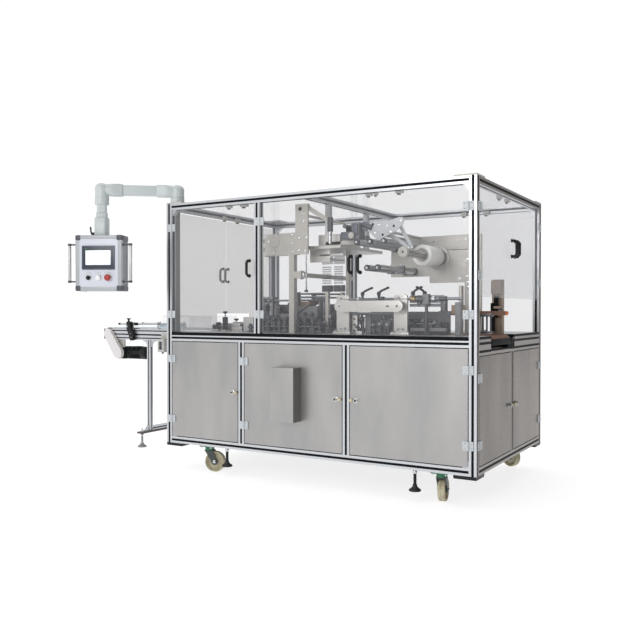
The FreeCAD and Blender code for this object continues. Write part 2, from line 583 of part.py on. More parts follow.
def tangent_block(first, first_radius, second, second_radius, y, thick):
    """The four-sided block that fills between two circles, touching each where their tangents do."""
    dx, dz = second[0] - first[0], second[1] - first[1]
    apart = math.hypot(dx, dz)
    lean = math.asin((first_radius - second_radius) / apart)
    along = math.atan2(dz, dx)
    corners = []
    for centre, radius, side in ((first, first_radius, 1), (second, second_radius, 1),
                                 (second, second_radius, -1), (first, first_radius, -1)):
        angle = along + side * (math.pi / 2 - lean)
        corners.append(FreeCAD.Vector(centre[0] + radius * math.cos(angle), y,
                                      centre[1] + radius * math.sin(angle)))
    outline = Part.makePolygon(corners + corners[:1])
    return Part.Face(outline).extrude(FreeCAD.Vector(0, thick, 0))


def infeed_fittings():
    rods = []
    for y, side in (("feed_y + guide_inset", "feed_y"),
                    ("feed_y + feed_wide - guide_inset", "feed_y + feed_wide - side_rail")):
        pieces = [rod(("feed_start + guide_start", y, "guide_z"), "guide_rod",
                      "hood_x - guide_stop - feed_start - guide_start", ALONG_X)]
        for x in ("feed_start + guide_post_start", "hood_x - guide_post_stop"):
            pieces.append(box((x, side, RAIL_TOP),
                              ("guide_rod * 2", "side_rail", f"guide_z + guide_post_over - ({RAIL_TOP})")))
            low, high = (side, y) if side == "feed_y" else (y, side)
            pieces.append(box((x, low, "guide_z - guide_rod"),
                              ("guide_rod * 2", f"{high} - ({low})", "guide_rod * 2")))
        rods.append(fuse(pieces))
    clamp_top = "guide_z + clamp_over"
    post = box(("clamp_x", "feed_y - clamp_thick", f"{clamp_top} - clamp_tall"),
               ("clamp_wide", "clamp_thick", "clamp_tall"))
    knob_x = "clamp_x + clamp_wide / 2"
    knob_y = "feed_y - clamp_thick / 2"
    stem = rod((knob_x, knob_y, clamp_top), "knob_stem_radius", "knob_stem")
    knob = rod((knob_x, knob_y, f"{clamp_top} + knob_stem"), "knob_radius", "knob_thick")
    sub_part("guide_rails", rods + [fuse([post, stem, knob])])
    switch_low = "side_rail_low + switch_hang - switch_plate - switch_tall"
    plate = box(("switch_x", "feed_y - switch_plate_thick", f"{switch_low} + switch_tall - 1"),
                ("switch_wide", "switch_plate_thick", "switch_plate + 1"))
    case = box(("switch_x", "feed_y - switch_deep", switch_low),
               ("switch_wide", "switch_deep", "switch_tall"))
    buttons = []
    for height in ("switch_button_low", "switch_button_high"):
        at = ("switch_x + switch_wide / 2", "feed_y - switch_deep - switch_button_out",
              f"{switch_low} + {height}")
        buttons.append(rod(at, "switch_button", "switch_button_out", ALONG_Y))
    sub_part("switch_box", [fuse([plate, case] + buttons)])


# Outfeed belts at the right end.
def outfeed():
    stop = "frame_long - out_roller - belt_thick - out_play"
    start = "frame_long - out_belt_long + out_roller + belt_thick + door_gap"
    z = f"{PLATE_TOP} - out_roller - belt_thick"
    belt_y = "out_y + out_belt_gap + out_side"
    wide = "out_wide - 2 * out_belt_gap - 2 * out_side - out_spare"
    outer = loop_shape(start, stop, belt_y, wide, z, "out_roller + belt_thick")
    hollow = loop_shape(start, stop, f"{belt_y} - 1", f"{wide} + 2", z, "out_roller")
    top_radius = "top_belt_tall / 2"
    top = loop_shape(f"frame_long - top_belt_long + {top_radius}", "frame_long - top_belt_inset",
                     "wall_y - top_belt_wide", "top_belt_wide", f"top_belt_low + {top_radius}", top_radius)
    sub_part("outfeed_belts", [cut(outer, [hollow]), top])
    sides = []
    side_y = (f"{belt_y} - out_side - 1", f"{belt_y} + {wide} + 1")
    for y in side_y:
        sides.append(box((f"{start} - out_roller", y, "out_low"),
                         (f"{stop} - ({start}) + out_roller + out_side_past", "out_side",
                          "deck_top + out_side_over - out_low")))
    for x in (start, stop):
        sides.append(rod((x, f"{belt_y} - 1", z), "out_roller", f"{wide} + 2", ALONG_Y))
    sides.append(box((start, f"{belt_y} - out_side - 1", "out_low"),
                     (f"{stop} - ({start}) - out_tray_short", f"{wide} + 2 * out_side + 2",
                      "out_tray_thick")))
    sub_part("outfeed_frame", [fuse(sides)])


# Arm and control panel.
def arm():
    low = "frame_tall + corner_thick + arm_flange + run_gap"
    hub = rod(("0", "0", low), "elbow_radius", f"{ARM_Z} + elbow_over - ({low})")
    tube = box(("0", "-arm_tube / 2", f"{ARM_Z} - arm_tube / 2"),
               ("arm_reach", "arm_tube", "arm_tube"))
    elbow = rod(("arm_reach", "0", ELBOW_LOW), "elbow_radius", "elbow_under + elbow_over")
    drop = rod(("arm_reach", "0", DROP_LOW), "drop_radius", "drop_long")
    sub_part("swing_arm", [group([fuse([hub, tube, elbow, drop])], ("arm_x", "arm_y", "0"), "arm_turn")])
    at = ("arm_x + arm_reach * cos(arm_turn)", "arm_y + arm_reach * sin(arm_turn)", "0")
    case = box(("-panel_wide / 2", "-panel_deep / 2", PANEL_LOW),
               ("panel_wide", "panel_deep", "panel_tall"))
    coupling = rod(("0", "0", PANEL_TOP), "coupling_radius", "coupling_long - run_gap")
    sub_part("panel_box", [group([fuse([case, coupling])], at, "panel_turn")])
    front = "-panel_deep / 2"
    bezel_top = f"{PANEL_TOP} - panel_corner - bezel_drop"
    bezel = box(("-bezel_wide / 2", f"{front} - bezel_out", f"{bezel_top} - bezel_tall"),
                ("bezel_wide", "bezel_out", "bezel_tall"))
    button_z = f"{PANEL_LOW} + button_rise"
    buttons = []
    for step in (-1, 0):
        buttons.append(rod((f"{step} * button_space", f"{front} - button_out", button_z),
                           "button_radius", "button_out", ALONG_Y))
    buttons.append(fuse([
        rod(("button_space", f"{front} - stop_out", button_z), "stop_radius",
            "stop_out - stop_stem", ALONG_Y),
        rod(("button_space", f"{front} - stop_stem", button_z), "button_radius", "stop_stem", ALONG_Y)]))
    grips = []
    grip_z = f"{PANEL_LOW} + (panel_tall - rod_grip_tall) / 2"
    for side in (-1, 1):
        x = f"{side} * (panel_wide / 2 + rod_grip_out)"
        pieces = [rod((x, "rod_grip_y", grip_z), "rod_grip_radius", "rod_grip_tall")]
        inner = "panel_wide / 2" if side > 0 else "-panel_wide / 2 - rod_grip_out - grip_block / 2"
        for z in (grip_z, f"{grip_z} + rod_grip_tall - grip_block"):
            pieces.append(box((inner, "rod_grip_y - grip_block / 2", z),
                              ("rod_grip_out + grip_block / 2", "grip_block", "grip_block")))
        grips.append(fuse(pieces))
    sub_part("panel_controls", [group([bezel] + buttons + grips, at, "panel_turn")])


# Film unwind, rollers and the side belt unit.
def film_unwind():
    far = "frame_long - wall_inset"
    post_x = f"{far} - wall_post"
    back = "wall_y + wall_thick"
    pieces = [
        box(("wall_x", "wall_y", "wall_low + wall_step"),
            (f"{far} - wall_x", "wall_thick", "wall_top - wall_low - wall_step")),
        box(("wall_step_x", "wall_y", "wall_low"),
            (f"{far} - wall_step_x", "wall_thick", "wall_top - wall_low")),
        box((post_x, "wall_y", PLATE_TOP), ("wall_post", "wall_thick", f"wall_top - ({PLATE_TOP})")),
        box((post_x, back, PLATE_TOP), ("wall_post", "wall_post", "post_foot")),
        rod(("reel_x", back, "reel_z"), "bearing_radius", "bearing_long", ALONG_Y)]
    bore = rod(("reel_x", "wall_y - 1", "reel_z"), "journal_radius + run_gap",
               "journal_long + journal_play + 1", ALONG_Y)
    post = box(("frame_long - outlet_post_inset - outlet_post", "wall_y", PLATE_TOP),
               ("outlet_post", "profile", f"outlet_post_top - ({PLATE_TOP})"))
    sub_part("film_wall", [cut(fuse(pieces), [bore]), post])
    long = "wall_y - roller_start"
    rollers = []
    for level, count in (("low_roller", 2), ("high_roller", 3)):
        for step in range(count):
            at = (f"{level}_x + {step} * {level}_pitch", "roller_start", f"{level}_z")
            rollers.append(rod(at, "roller_radius", long, ALONG_Y))
    sub_part("guide_rollers", rollers)
    spindle = rod(("reel_x", "spindle_start", "reel_z"), "spindle_radius",
                  "hub_disc_y - spindle_start", ALONG_Y)
    cap = rod(("reel_x", "spindle_start", "reel_z"), "cap_radius", "cap_long", ALONG_Y)
    disc = rod(("reel_x", "hub_disc_y", "reel_z"), "hub_disc_radius", "hub_disc", ALONG_Y)
    journal = rod(("reel_x", "hub_disc_y", "reel_z"), "journal_radius",
                  "wall_y - hub_disc_y + journal_long", ALONG_Y)
    sub_part("film_spindle", [fuse([spindle, cap, disc, journal])])
    reel = rod(("reel_x", "reel_y", "reel_z"), "reel_radius", "reel_wide", ALONG_Y)
    core = rod(("reel_x", "reel_y - 1", "reel_z"), "spindle_radius", "reel_wide + 2", ALONG_Y)
    sub_part("film_reel", [cut(reel, [core])])


def side_belts():
    middle_z = "(unit_low + unit_top) / 2"
    radius = "(unit_top - unit_low) / 2"
    beam = loop_shape(f"unit_x + {radius}", f"unit_far_x - {radius}", "unit_y", "unit_deep",
                      middle_z, radius)
    pieces = [beam]
    for x in ("unit_x", "unit_far_x - end_plate"):
        pieces.append(box((x, "unit_y + unit_deep", PLATE_TOP),
                          ("end_plate", "end_plate_thick", f"end_plate_top - ({PLATE_TOP})")))
        foot_at = (f"{x} - (end_foot - end_plate) / 2", "unit_y + unit_deep - unit_foot_front", PLATE_TOP)
        pieces.append(box(foot_at, ("end_foot", "unit_foot_deep", "unit_foot_thick")))
    shaft_at = ("unit_x + unit_shaft_inset", "unit_y + unit_deep + end_plate_thick / 2", "unit_shaft_z")
    pieces.append(rod(shaft_at, "unit_shaft_radius", "unit_shaft_end - unit_x - unit_shaft_inset", ALONG_X))
    pieces.append(box(("unit_shaft_end - far_bracket_inset", "unit_y + unit_deep", PLATE_TOP),
                      ("far_bracket", "end_plate_thick", f"end_plate_top - ({PLATE_TOP})")))
    sub_part("side_belt_unit", [fuse(pieces)])


def tower():
    column = box(("tower_x", "tower_y", PLATE_TOP),
                 ("tower_side", "tower_side", f"tower_top - ({PLATE_TOP})"))
    gear = box(("gear_x", "tower_y", "gear_low"), ("gear_wide", "gear_deep", "gear_tall"))
    tall_far = "tall_plate_x + tall_plate_wide"
    link = box(("tower_x", "tower_y", "tower_top"),
               (f"{tall_far} - tower_x", "tall_plate_thick", "gear_low + gear_tall - tower_top"))
    tall = box(("tall_plate_x", "tower_y", "gear_low"),
               ("tall_plate_wide", "tall_plate_thick", f"{TOP_LOW} - gear_low"))
    plate = box(("carrier_x", "carrier_y", "carrier_z"),
                ("carrier_wide", "carrier_deep", "carrier_thick"))
    hangers = [box(("roof_beam_x + profile / 2 - hanger / 2", y, "carrier_z + carrier_thick"),
                   ("hanger", "hanger", f"{TOP_LOW} - carrier_z - carrier_thick"))
               for y in ("carrier_y + hanger_inset", "carrier_y + carrier_deep - hanger_inset - hanger")]
    rods = [rod((f"{tall_far} - tie_rod_inset", "tower_y + tall_plate_thick", f"{TOP_LOW} - tie_rod_drop"),
                "tie_rod_radius", "tie_rod_long", ALONG_Y),
            rod(("cross_rod_x", "tower_y + tower_side", "cross_rod_z"), "cross_rod_radius",
                "cross_rod_long", ALONG_Y)]
    bracket = box(("tower_x", "tower_y", "cross_rod_z - cross_bracket / 2"),
                  ("cross_rod_x + cross_rod_radius - tower_x", "tower_side", "cross_bracket"))
    sub_part("lift_tower", [fuse([column, gear, link, tall, bracket] + rods), fuse([plate] + hangers)])


HEATERS = 3


def folding_station():
    base = box(("fold_x", "fold_y", PLATE_TOP), ("fold_wide", "fold_deep", "fold_base"))
    walls = [box((x, "fold_y", PLATE_TOP), ("fold_side", "fold_deep", "fold_tall"))
             for x in ("fold_x", "fold_x + fold_wide - fold_side")]
    bar_y = "fold_y + fold_bar_front"
    bars = []
    for y, height in ((bar_y, "fold_bar_high"), (bar_y, "fold_bar_low"),
                      ("fold_y + fold_deep - fold_bar_rear", "fold_bar_high")):
        bars.append(box(("fold_x", y, f"{PLATE_TOP} + {height}"), ("fold_wide", "fold_bar", "fold_bar")))
    sub_part("folding_station", [fuse([base] + walls + bars)])
    heaters = []
    for step in range(HEATERS):
        x = f"fold_x + fold_side + heater_inset + {step} * (heater_wide + heater_gap)"
        heaters.append(box((x, f"{bar_y} + fold_bar", f"{PLATE_TOP} + fold_bar_high - heater_tall / 2"),
                           ("heater_wide", "heater_deep", "heater_tall")))
    sub_part("heater_blocks", heaters)
    guides = []
    for name in ("first_stop", "second_stop", "third_stop"):
        guides.append(box((f"{name}_x", "stop_y", PLATE_TOP), (f"{name}_wide", "stop_deep", f"{name}_tall")))
    sub_part("infeed_guides", guides)


def centre_on_origin():
    """Put the origin at floor level under the middle of the whole machine."""
    doc.recompute()
    everything = Part.makeCompound([node.Shape for node in SUB_PARTS])
    whole = everything.optimalBoundingBox(False, False)
    shift_x = float(sheet.get("origin_x")) - (whole.XMin + whole.XMax) / 2
    shift_y = float(sheet.get("origin_y")) - (whole.YMin + whole.YMax) / 2
    for alias, shift in (("origin_x", shift_x), ("origin_y", shift_y)):
        sheet.set(sheet.getCellFromAlias(alias), str(round(shift, 4)))
    doc.recompute()


def write_sub_parts():
    for thing in doc.Objects:
        if "Invalid" in thing.State or "Error" in thing.State:
            raise RuntimeError(f"{thing.Name} ({thing.Label}) failed: {thing.State}")
    for node in SUB_PARTS:
        if node.Shape.isNull() or not node.Shape.isValid():
            raise RuntimeError(f"{node.Label} has no valid shape")
    os.makedirs("parts", exist_ok=True)
    for node in SUB_PARTS:
        node.Shape.exportStep(f"parts/{node.Label}.step")
        print(node.Label, len(node.Shape.Solids), round(node.Shape.Volume / 1e6, 3))


frame_bars()
plates_and_panels()
feet()
doors()
infeed()
conveyor_drive()
infeed_fittings()
outfeed()
arm()
film_unwind()
side_belts()
tower()
folding_station()
centre_on_origin()
write_sub_parts()
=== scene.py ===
# %% [markdown]
# An overwrapping machine folds film round small packs. This one is a cabinet of slotted aluminium
# bars on casters. Clear doors guard the mechanism, steel doors close the base, a belt brings the
# packs in from the left, and the control panel hangs from an arm that swings.
#
# The packed CAD model is the frame of this lesson: it gives every size and joint. Blender adds the
# finish of each surface, the small hardware and the rounded forms that the plain solids leave out.

# %% Load the frame
import json
import math
import random

import bmesh
import bpy
from mathutils import Matrix, Vector


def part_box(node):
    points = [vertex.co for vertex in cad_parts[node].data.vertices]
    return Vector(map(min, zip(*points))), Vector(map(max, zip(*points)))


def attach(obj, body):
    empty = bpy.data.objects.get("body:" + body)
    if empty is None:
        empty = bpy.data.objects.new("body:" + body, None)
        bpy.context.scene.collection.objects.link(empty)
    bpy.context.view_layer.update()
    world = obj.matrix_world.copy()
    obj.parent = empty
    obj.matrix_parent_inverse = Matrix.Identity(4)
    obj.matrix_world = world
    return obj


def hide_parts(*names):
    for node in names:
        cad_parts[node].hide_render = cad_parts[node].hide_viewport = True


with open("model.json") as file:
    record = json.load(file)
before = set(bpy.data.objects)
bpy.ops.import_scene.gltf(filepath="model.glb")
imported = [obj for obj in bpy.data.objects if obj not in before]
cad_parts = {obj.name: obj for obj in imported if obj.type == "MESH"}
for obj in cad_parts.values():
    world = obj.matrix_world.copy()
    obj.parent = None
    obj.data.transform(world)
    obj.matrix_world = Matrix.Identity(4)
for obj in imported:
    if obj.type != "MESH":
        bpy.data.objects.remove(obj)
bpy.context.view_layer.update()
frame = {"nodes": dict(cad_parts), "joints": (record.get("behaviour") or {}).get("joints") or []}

# %% [markdown]
# Sizes read best in millimetres from one corner of the machine, as on a workshop drawing. The frame
# is in metres round the middle of the footprint, so one matrix turns a drawing point into a scene
# point. The corner is the low end of the front left post.

# %% A drawing frame in millimetres
MM = 0.001
CORNER = Vector(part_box("corner_posts")[0])
DRAWING = Matrix.Translation(CORNER) @ Matrix.Scale(MM, 4)


def on_drawing(node):
    """Lowest and highest corner of a node, in millimetres from the machine's corner."""
    low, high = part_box(node)
    return (Vector(low) - CORNER) / MM, (Vector(high) - CORNER) / MM


LONG, DEEP, TALL = on_drawing("corner_posts")[1]
DECK_LOW, DECK_TOP = (corner.z for corner in on_drawing("deck_plate"))
FLOOR = on_drawing("levelling_feet")[0].z
BAR = 40.0
print(f"Frame {LONG:.0f} x {DEEP:.0f} x {TALL:.0f} mm, deck at {DECK_TOP:.0f}, floor at {FLOOR:.0f}")

# %% [markdown]
# The photograph was taken from the right of the front, a little under the middle of the clear
# doors. The camera stands where the lines of the frame agree with the picture. Its lens is a long
# one, because a wide lens would spread the near corner.

# %% Camera
CAMERA_AT = (3228, -3561, 807)
CAMERA_TURN = math.radians(30.74)
CAMERA_DIP = math.radians(0.57)
SENSOR = 36
FOCAL = 42.53

camera = bpy.data.objects.new("camera", bpy.data.cameras.new("camera"))
camera.data.sensor_width = SENSOR
camera.data.lens = FOCAL
camera.data.clip_start = 0.05
camera.location = DRAWING @ Vector(CAMERA_AT)
camera.rotation_euler = (math.pi / 2 - CAMERA_DIP, 0, CAMERA_TURN)
bpy.context.collection.objects.link(camera)
bpy.context.scene.camera = camera
print("Camera stands at", tuple(round(value, 3) for value in camera.location))

# %% [markdown]
# The picture is a catalogue shot: white surroundings and soft light from all sides, a little
# stronger from the front, while the outlet's end looks into the dark of the room. A bright world
# gives the evenness, and large area lights put long soft highlights on bars and steel doors.

# %% Floor and light
FLOOR_SIZE = 40.0


def pale_floor():
    mesh = bpy.data.meshes.new("floor")
    half = FLOOR_SIZE / 2
    z = CORNER.z + FLOOR * MM
    mesh.from_pydata([(-half, -half, z), (half, -half, z), (half, half, z), (-half, half, z)], [],
                     [(0, 1, 2, 3)])
    floor = bpy.data.objects.new("floor", mesh)
    paint = bpy.data.materials.new("white_floor")
    paint.use_nodes = True
    shader = paint.node_tree.nodes["Principled BSDF"]
    shader.inputs["Base Color"].default_value = (0.35, 0.35, 0.35, 1)
    shader.inputs["Roughness"].default_value = 0.8
    shader.inputs["Emission Color"].default_value = (1, 1, 1, 1)
    shader.inputs["Emission Strength"].default_value = 0.78
    mesh.materials.append(paint)
    bpy.context.collection.objects.link(floor)


def soft_light(name, place, aim, size, power):
    lamp = bpy.data.objects.new(name, bpy.data.lights.new(name, "AREA"))
    lamp.data.shape = "RECTANGLE"
    lamp.data.size, lamp.data.size_y = size
    lamp.data.energy = power
    lamp.location = place
    lamp.rotation_euler = (Vector(aim) - Vector(place)).to_track_quat("-Z", "Y").to_euler()
    bpy.context.collection.objects.link(lamp)


def studio_world(bright, dim, bright_side):
    """A white world that falls off to grey away from one side."""
    world = bpy.data.worlds.new("studio")
    world.use_nodes = True
    tree = world.node_tree
    place = tree.nodes.new("ShaderNodeTexCoord")
    side = tree.nodes.new("ShaderNodeVectorMath")
    side.operation = "DOT_PRODUCT"
    side.inputs[1].default_value = bright_side
    spread = tree.nodes.new("ShaderNodeMapRange")
    spread.interpolation_type = "SMOOTHSTEP"
    for name, value in (("From Min", -0.3), ("From Max", 0.36), ("To Min", dim), ("To Max", bright)):
        spread.inputs[name].default_value = value
    background = tree.nodes["Background"]
    background.inputs["Color"].default_value = (1.0, 1.0, 1.0, 1)
    tree.links.new(place.outputs["Generated"], side.inputs[0])
    tree.links.new(side.outputs["Value"], spread.inputs["Value"])
    tree.links.new(spread.outputs["Result"], background.inputs["Strength"])
    bpy.context.scene.world = world


pale_floor()
studio_world(1.03, 0.24, (-0.95, 0.3, 0.1))
bpy.context.scene.view_settings.view_transform = "Standard"
soft_light("key", (0.5, -5.6, 2.6), (0, 0, 0.9), (2.4, 2.2), 92)
soft_light("fill", (4.5, -2.5, 2.4), (0.5, 0, 0.8), (3.0, 3.0), 3)
soft_light("top", (0, 0, 4.5), (0, 0, 0.5), (4.0, 3.0), 34)
print("Studio: a white world and three soft lights")

# %% [markdown]
# Shader graphs are easier to read as sums than as wires. `Wire` wraps one number socket and turns
# `+`, `-` and `*` into Math nodes, so `0.3 + 0.1 * noise` is a graph. `Finish` makes a material and
# holds the one method that adds any other node.

# %% Wires and finishes
class Wire:
    """A number socket that can stand in a sum."""

    def __init__(self, finish, socket):
        self.finish = finish
        self.socket = socket

    def maths(self, operation, first, second):
        made = self.finish.node("ShaderNodeMath", {"operation": operation}, {0: first, 1: second})
        return Wire(self.finish, made.outputs[0])

    def __add__(self, other):
        return self.maths("ADD", self, other)

    __radd__ = __add__

    def __mul__(self, other):
        return self.maths("MULTIPLY", self, other)

    __rmul__ = __mul__

    def __sub__(self, other):
        return self.maths("SUBTRACT", self, other)

    def __rsub__(self, other):
        return self.maths("SUBTRACT", other, self)

    def __pow__(self, other):
        return self.maths("POWER", self, other)


class Finish:
    """A material being made: a Principled shader and the nodes that feed it."""

    def __init__(self, name, color, **constants):
        self.material = bpy.data.materials.new(name)
        self.material.use_nodes = True
        self.tree = self.material.node_tree
        self.shader = self.tree.nodes["Principled BSDF"]
        self.color = (*color, 1)
        self.shader.inputs["Base Color"].default_value = self.color
        for word, value in constants.items():
            self.shader.inputs[word.replace("_", " ").title()].default_value = value

    def node(self, kind, settings=None, links=None):
        """Any node: its settings first, then the values or links of its sockets."""
        made = self.tree.nodes.new(kind)
        for name, value in (settings or {}).items():
            setattr(made, name, value)
        for name, value in (links or {}).items():
            self.join(made.inputs[name], value)
        return made

    def join(self, socket, value):
        if isinstance(value, Wire):
            value = value.socket
        if isinstance(value, bpy.types.NodeSocket):
            self.tree.links.new(value, socket)
        else:
            socket.default_value = value

    def feed(self, name, value):
        self.join(self.shader.inputs[name], value)

    def noise(self, scale, detail=3.0, stretch=(1, 1, 1)):
        """Soft noise in the piece's own space; stretch squeezes it along an axis."""
        place = self.node("ShaderNodeTexCoord").outputs["Object"]
        spread = self.node("ShaderNodeMapping", links={"Vector": place, "Scale": stretch})
        made = self.node("ShaderNodeTexNoise", links={
            "Vector": spread.outputs["Vector"], "Scale": scale, "Detail": detail})
        return Wire(self, made.outputs["Fac"])

    def tint(self, mask, other):
        """Blend the base colour towards another by a mask."""
        made = self.node("ShaderNodeMix", {"data_type": "RGBA"}, {
            "Factor": mask, 6: self.color, 7: (*other, 1)})
        self.feed("Base Color", made.outputs[2])

    def bump(self, height, strength, distance=0.001):
        made = self.node("ShaderNodeBump", links={
            "Height": height, "Strength": strength, "Distance": distance})
        self.feed("Normal", made.outputs["Normal"])


print("Finish ready:", [name for name in vars(Finish) if not name.startswith("_")])

# %% [markdown]
# The bars are anodised aluminium: a bright, slightly blue metal with fine lines along its length
# from the die. The steel doors are cold-rolled sheet, which looks cloudy rather than striped, with
# soft vertical blotches. Both are the same recipe, stretched noise in the roughness and the bump,
# with other numbers.

# %% Metals
def anodised():
    made = Finish("anodised", (0.60, 0.615, 0.64), metallic=0.85, roughness=0.34)
    grain = made.noise(60, 4, (1, 1, 1))
    cloud = made.noise(4, 2)
    made.tint(cloud ** 2 * 0.6, (0.50, 0.52, 0.55))
    made.feed("Roughness", 0.26 + 0.16 * grain)
    made.bump(grain, 0.05)
    return made.material


def sheet_steel(name, color, cloudy, rough):
    made = Finish(name, color, metallic=0.85, roughness=rough)
    cloud = made.noise(3.2, 5, (1.6, 1.6, 0.55))
    grain = made.noise(900, 2, (1, 1, 0.06))
    made.tint(cloud ** 1.5, cloudy)
    made.feed("Roughness", rough - 0.08 + 0.16 * grain + 0.06 * cloud)
    made.bump(grain, 0.03)
    return made.material


def painted(name, color, worn, rough=0.42, peel=220):
    """Sprayed enamel: faint orange peel and a little grime."""
    made = Finish(name, color, roughness=rough)
    skin = made.noise(peel, 2)
    grime = made.noise(9, 5)
    made.tint(grime ** 3 * 0.8, worn)
    made.feed("Roughness", rough - 0.05 + 0.12 * grime)
    made.bump(skin, 0.06)
    return made.material


def bright_metal(name, color, rough=0.2):
    made = Finish(name, color, metallic=1.0, roughness=rough)
    turned = made.noise(400, 2, (1, 0.05, 1))
    made.feed("Roughness", rough - 0.06 + 0.16 * turned)
    made.bump(turned, 0.03)
    return made.material


ALUMINIUM = anodised()
STEEL = sheet_steel("sheet_steel", (0.47, 0.462, 0.45), (0.25, 0.25, 0.262), 0.36)
# The outlet doors' steel is a much darker copy of the sheet steel: painted shade on the end that faces the
# dark of the room.
SHADED_OUTLET_STEEL = sheet_steel("outlet_steel_painted_shade", (0.07, 0.061, 0.055), (0.27, 0.235, 0.21), 0.24)
# A darker copy of the bar metal paints the shade on bar faces that look to the outlet end.
PAINTED_SHADE_ALUMINIUM = bright_metal("shaded_bar", (0.33, 0.31, 0.30), 0.4)
COVER_SHADE_STEEL = sheet_steel("cover_painted_shade", (0.26, 0.255, 0.24), (0.20, 0.195, 0.18), 0.45)
DECK_STEEL = sheet_steel("deck_steel", (0.52, 0.53, 0.54), (0.38, 0.385, 0.39), 0.42)
BEIGE = painted("beige_enamel", (0.54, 0.515, 0.47), (0.40, 0.375, 0.33))
ARM_GREY = painted("arm_enamel", (0.56, 0.605, 0.61), (0.48, 0.525, 0.53), 0.36)
HINGE = painted("hinge_die_cast", (0.55, 0.58, 0.61), (0.44, 0.46, 0.5), 0.38)
CHROME = bright_metal("ground_steel", (0.62, 0.63, 0.64))
DARK_STEEL = bright_metal("dark_steel", (0.10, 0.102, 0.108), 0.34)
STAINLESS = sheet_steel("stainless_plate", (0.62, 0.605, 0.575), (0.48, 0.465, 0.44), 0.36)
WALL_STEEL = sheet_steel("wall_steel", (0.52, 0.505, 0.475), (0.36, 0.345, 0.32), 0.42)
PALE_STEEL = bright_metal("pale_steel", (0.52, 0.53, 0.53), 0.34)
PALE_PLATE = painted("pale_plate", (0.60, 0.62, 0.64), (0.48, 0.5, 0.52), 0.4)
DARK_CHROME = bright_metal("dark_chrome", (0.33, 0.32, 0.30), 0.3)
ROLLER_GREY = bright_metal("roller_cap_grey", (0.12, 0.13, 0.15), 0.4)
BRASS = bright_metal("brass", (0.45, 0.33, 0.16), 0.35)
DARK_GREEN = painted("bearing_green", (0.10, 0.13, 0.12), (0.06, 0.07, 0.07), 0.4)
MECHANISM = painted("mechanism_dark", (0.05, 0.054, 0.062), (0.17, 0.155, 0.14), 0.42)
CASTING = painted("grey_casting", (0.20, 0.205, 0.21), (0.07, 0.07, 0.075), 0.4)
ROD_GREY = bright_metal("rod_grey", (0.24, 0.25, 0.27), 0.3)
BROWN_BLOCK = painted("phenolic_brown", (0.30, 0.20, 0.125), (0.16, 0.095, 0.055), 0.5, 90)
POST_BROWN = painted("post_brown", (0.30, 0.235, 0.175), (0.17, 0.12, 0.085), 0.45)
STAND_STEEL = painted("stand_plate_brown", (0.085, 0.07, 0.065), (0.16, 0.13, 0.12), 0.5)
GREEN_IRON = painted("caster_plate_green", (0.02, 0.16, 0.07), (0.03, 0.07, 0.04), 0.45)
FORK_IRON = painted("caster_fork_iron", (0.045, 0.06, 0.055), (0.10, 0.12, 0.10), 0.4)
print("Metals:", ALUMINIUM.name, STEEL.name, BEIGE.name, CHROME.name)

# %% [markdown]
# Plastics and rubber are not metallic. What tells them apart is roughness: a moulded handle is
# satin, the belt guard is glossy, and belts are dull with a fine woven face. The caster wheels are
# cast polyurethane, cream with a green cast and darker where they roll.

# %% Plastics and rubber
def moulded(name, color, rough=0.4, grain=700, strength=0.08, shine=0.5):
    made = Finish(name, color, roughness=rough)
    made.shader.inputs["Specular IOR Level"].default_value = shine
    leather = made.noise(grain, 2)
    scuff = made.noise(14, 4)
    made.feed("Roughness", rough - 0.06 + 0.14 * scuff)
    made.bump(leather, strength)
    return made.material


def woven_belt(name, color, edge, weave=520):
    made = Finish(name, color, roughness=0.62)
    place = made.node("ShaderNodeTexCoord").outputs["Object"]
    waves = []
    for axis in ("X", "Y"):
        lines = made.node("ShaderNodeTexWave", {"wave_type": "BANDS", "bands_direction": axis}, {
            "Vector": place, "Scale": weave})
        waves.append(Wire(made, lines.outputs["Fac"]))
    dust = made.noise(18, 4)
    made.tint(dust ** 2 * 0.7, edge)
    made.bump(waves[0] * waves[1], 0.12, 0.0005)
    return made.material


def cast_wheel():
    made = Finish("caster_tyre", (0.56, 0.52, 0.37), roughness=0.45, subsurface_weight=0.05)
    dirt = made.noise(26, 6)
    made.tint(dirt ** 2 * 1.7, (0.20, 0.17, 0.10))
    made.feed("Roughness", 0.34 + 0.25 * dirt)
    made.bump(dirt, 0.08)
    return made.material


def clear_sheet(name, color, edge_on=0.5, body=0.07):
    """Clear guard sheet: almost nothing face on, brighter where it is seen at a slant."""
    made = Finish(name, color, roughness=0.03)
    slant = Wire(made, made.node("ShaderNodeLayerWeight", links={"Blend": 0.25}).outputs["Fresnel"])
    film = made.noise(5, 2)
    made.shader.inputs["Specular IOR Level"].default_value = 0.3
    made.feed("Alpha", body + edge_on * slant + 0.02 * film)
    made.feed("Roughness", 0.02 + 0.05 * film)
    made.material.surface_render_method = "BLENDED"
    return made.material


def glow(name, color, strength):
    made = Finish(name, color, roughness=0.25)
    made.shader.inputs["Emission Color"].default_value = (*color, 1)
    made.shader.inputs["Emission Strength"].default_value = strength
    sheen = made.noise(30, 1)
    made.feed("Roughness", 0.2 + 0.1 * sheen)
    return made.material


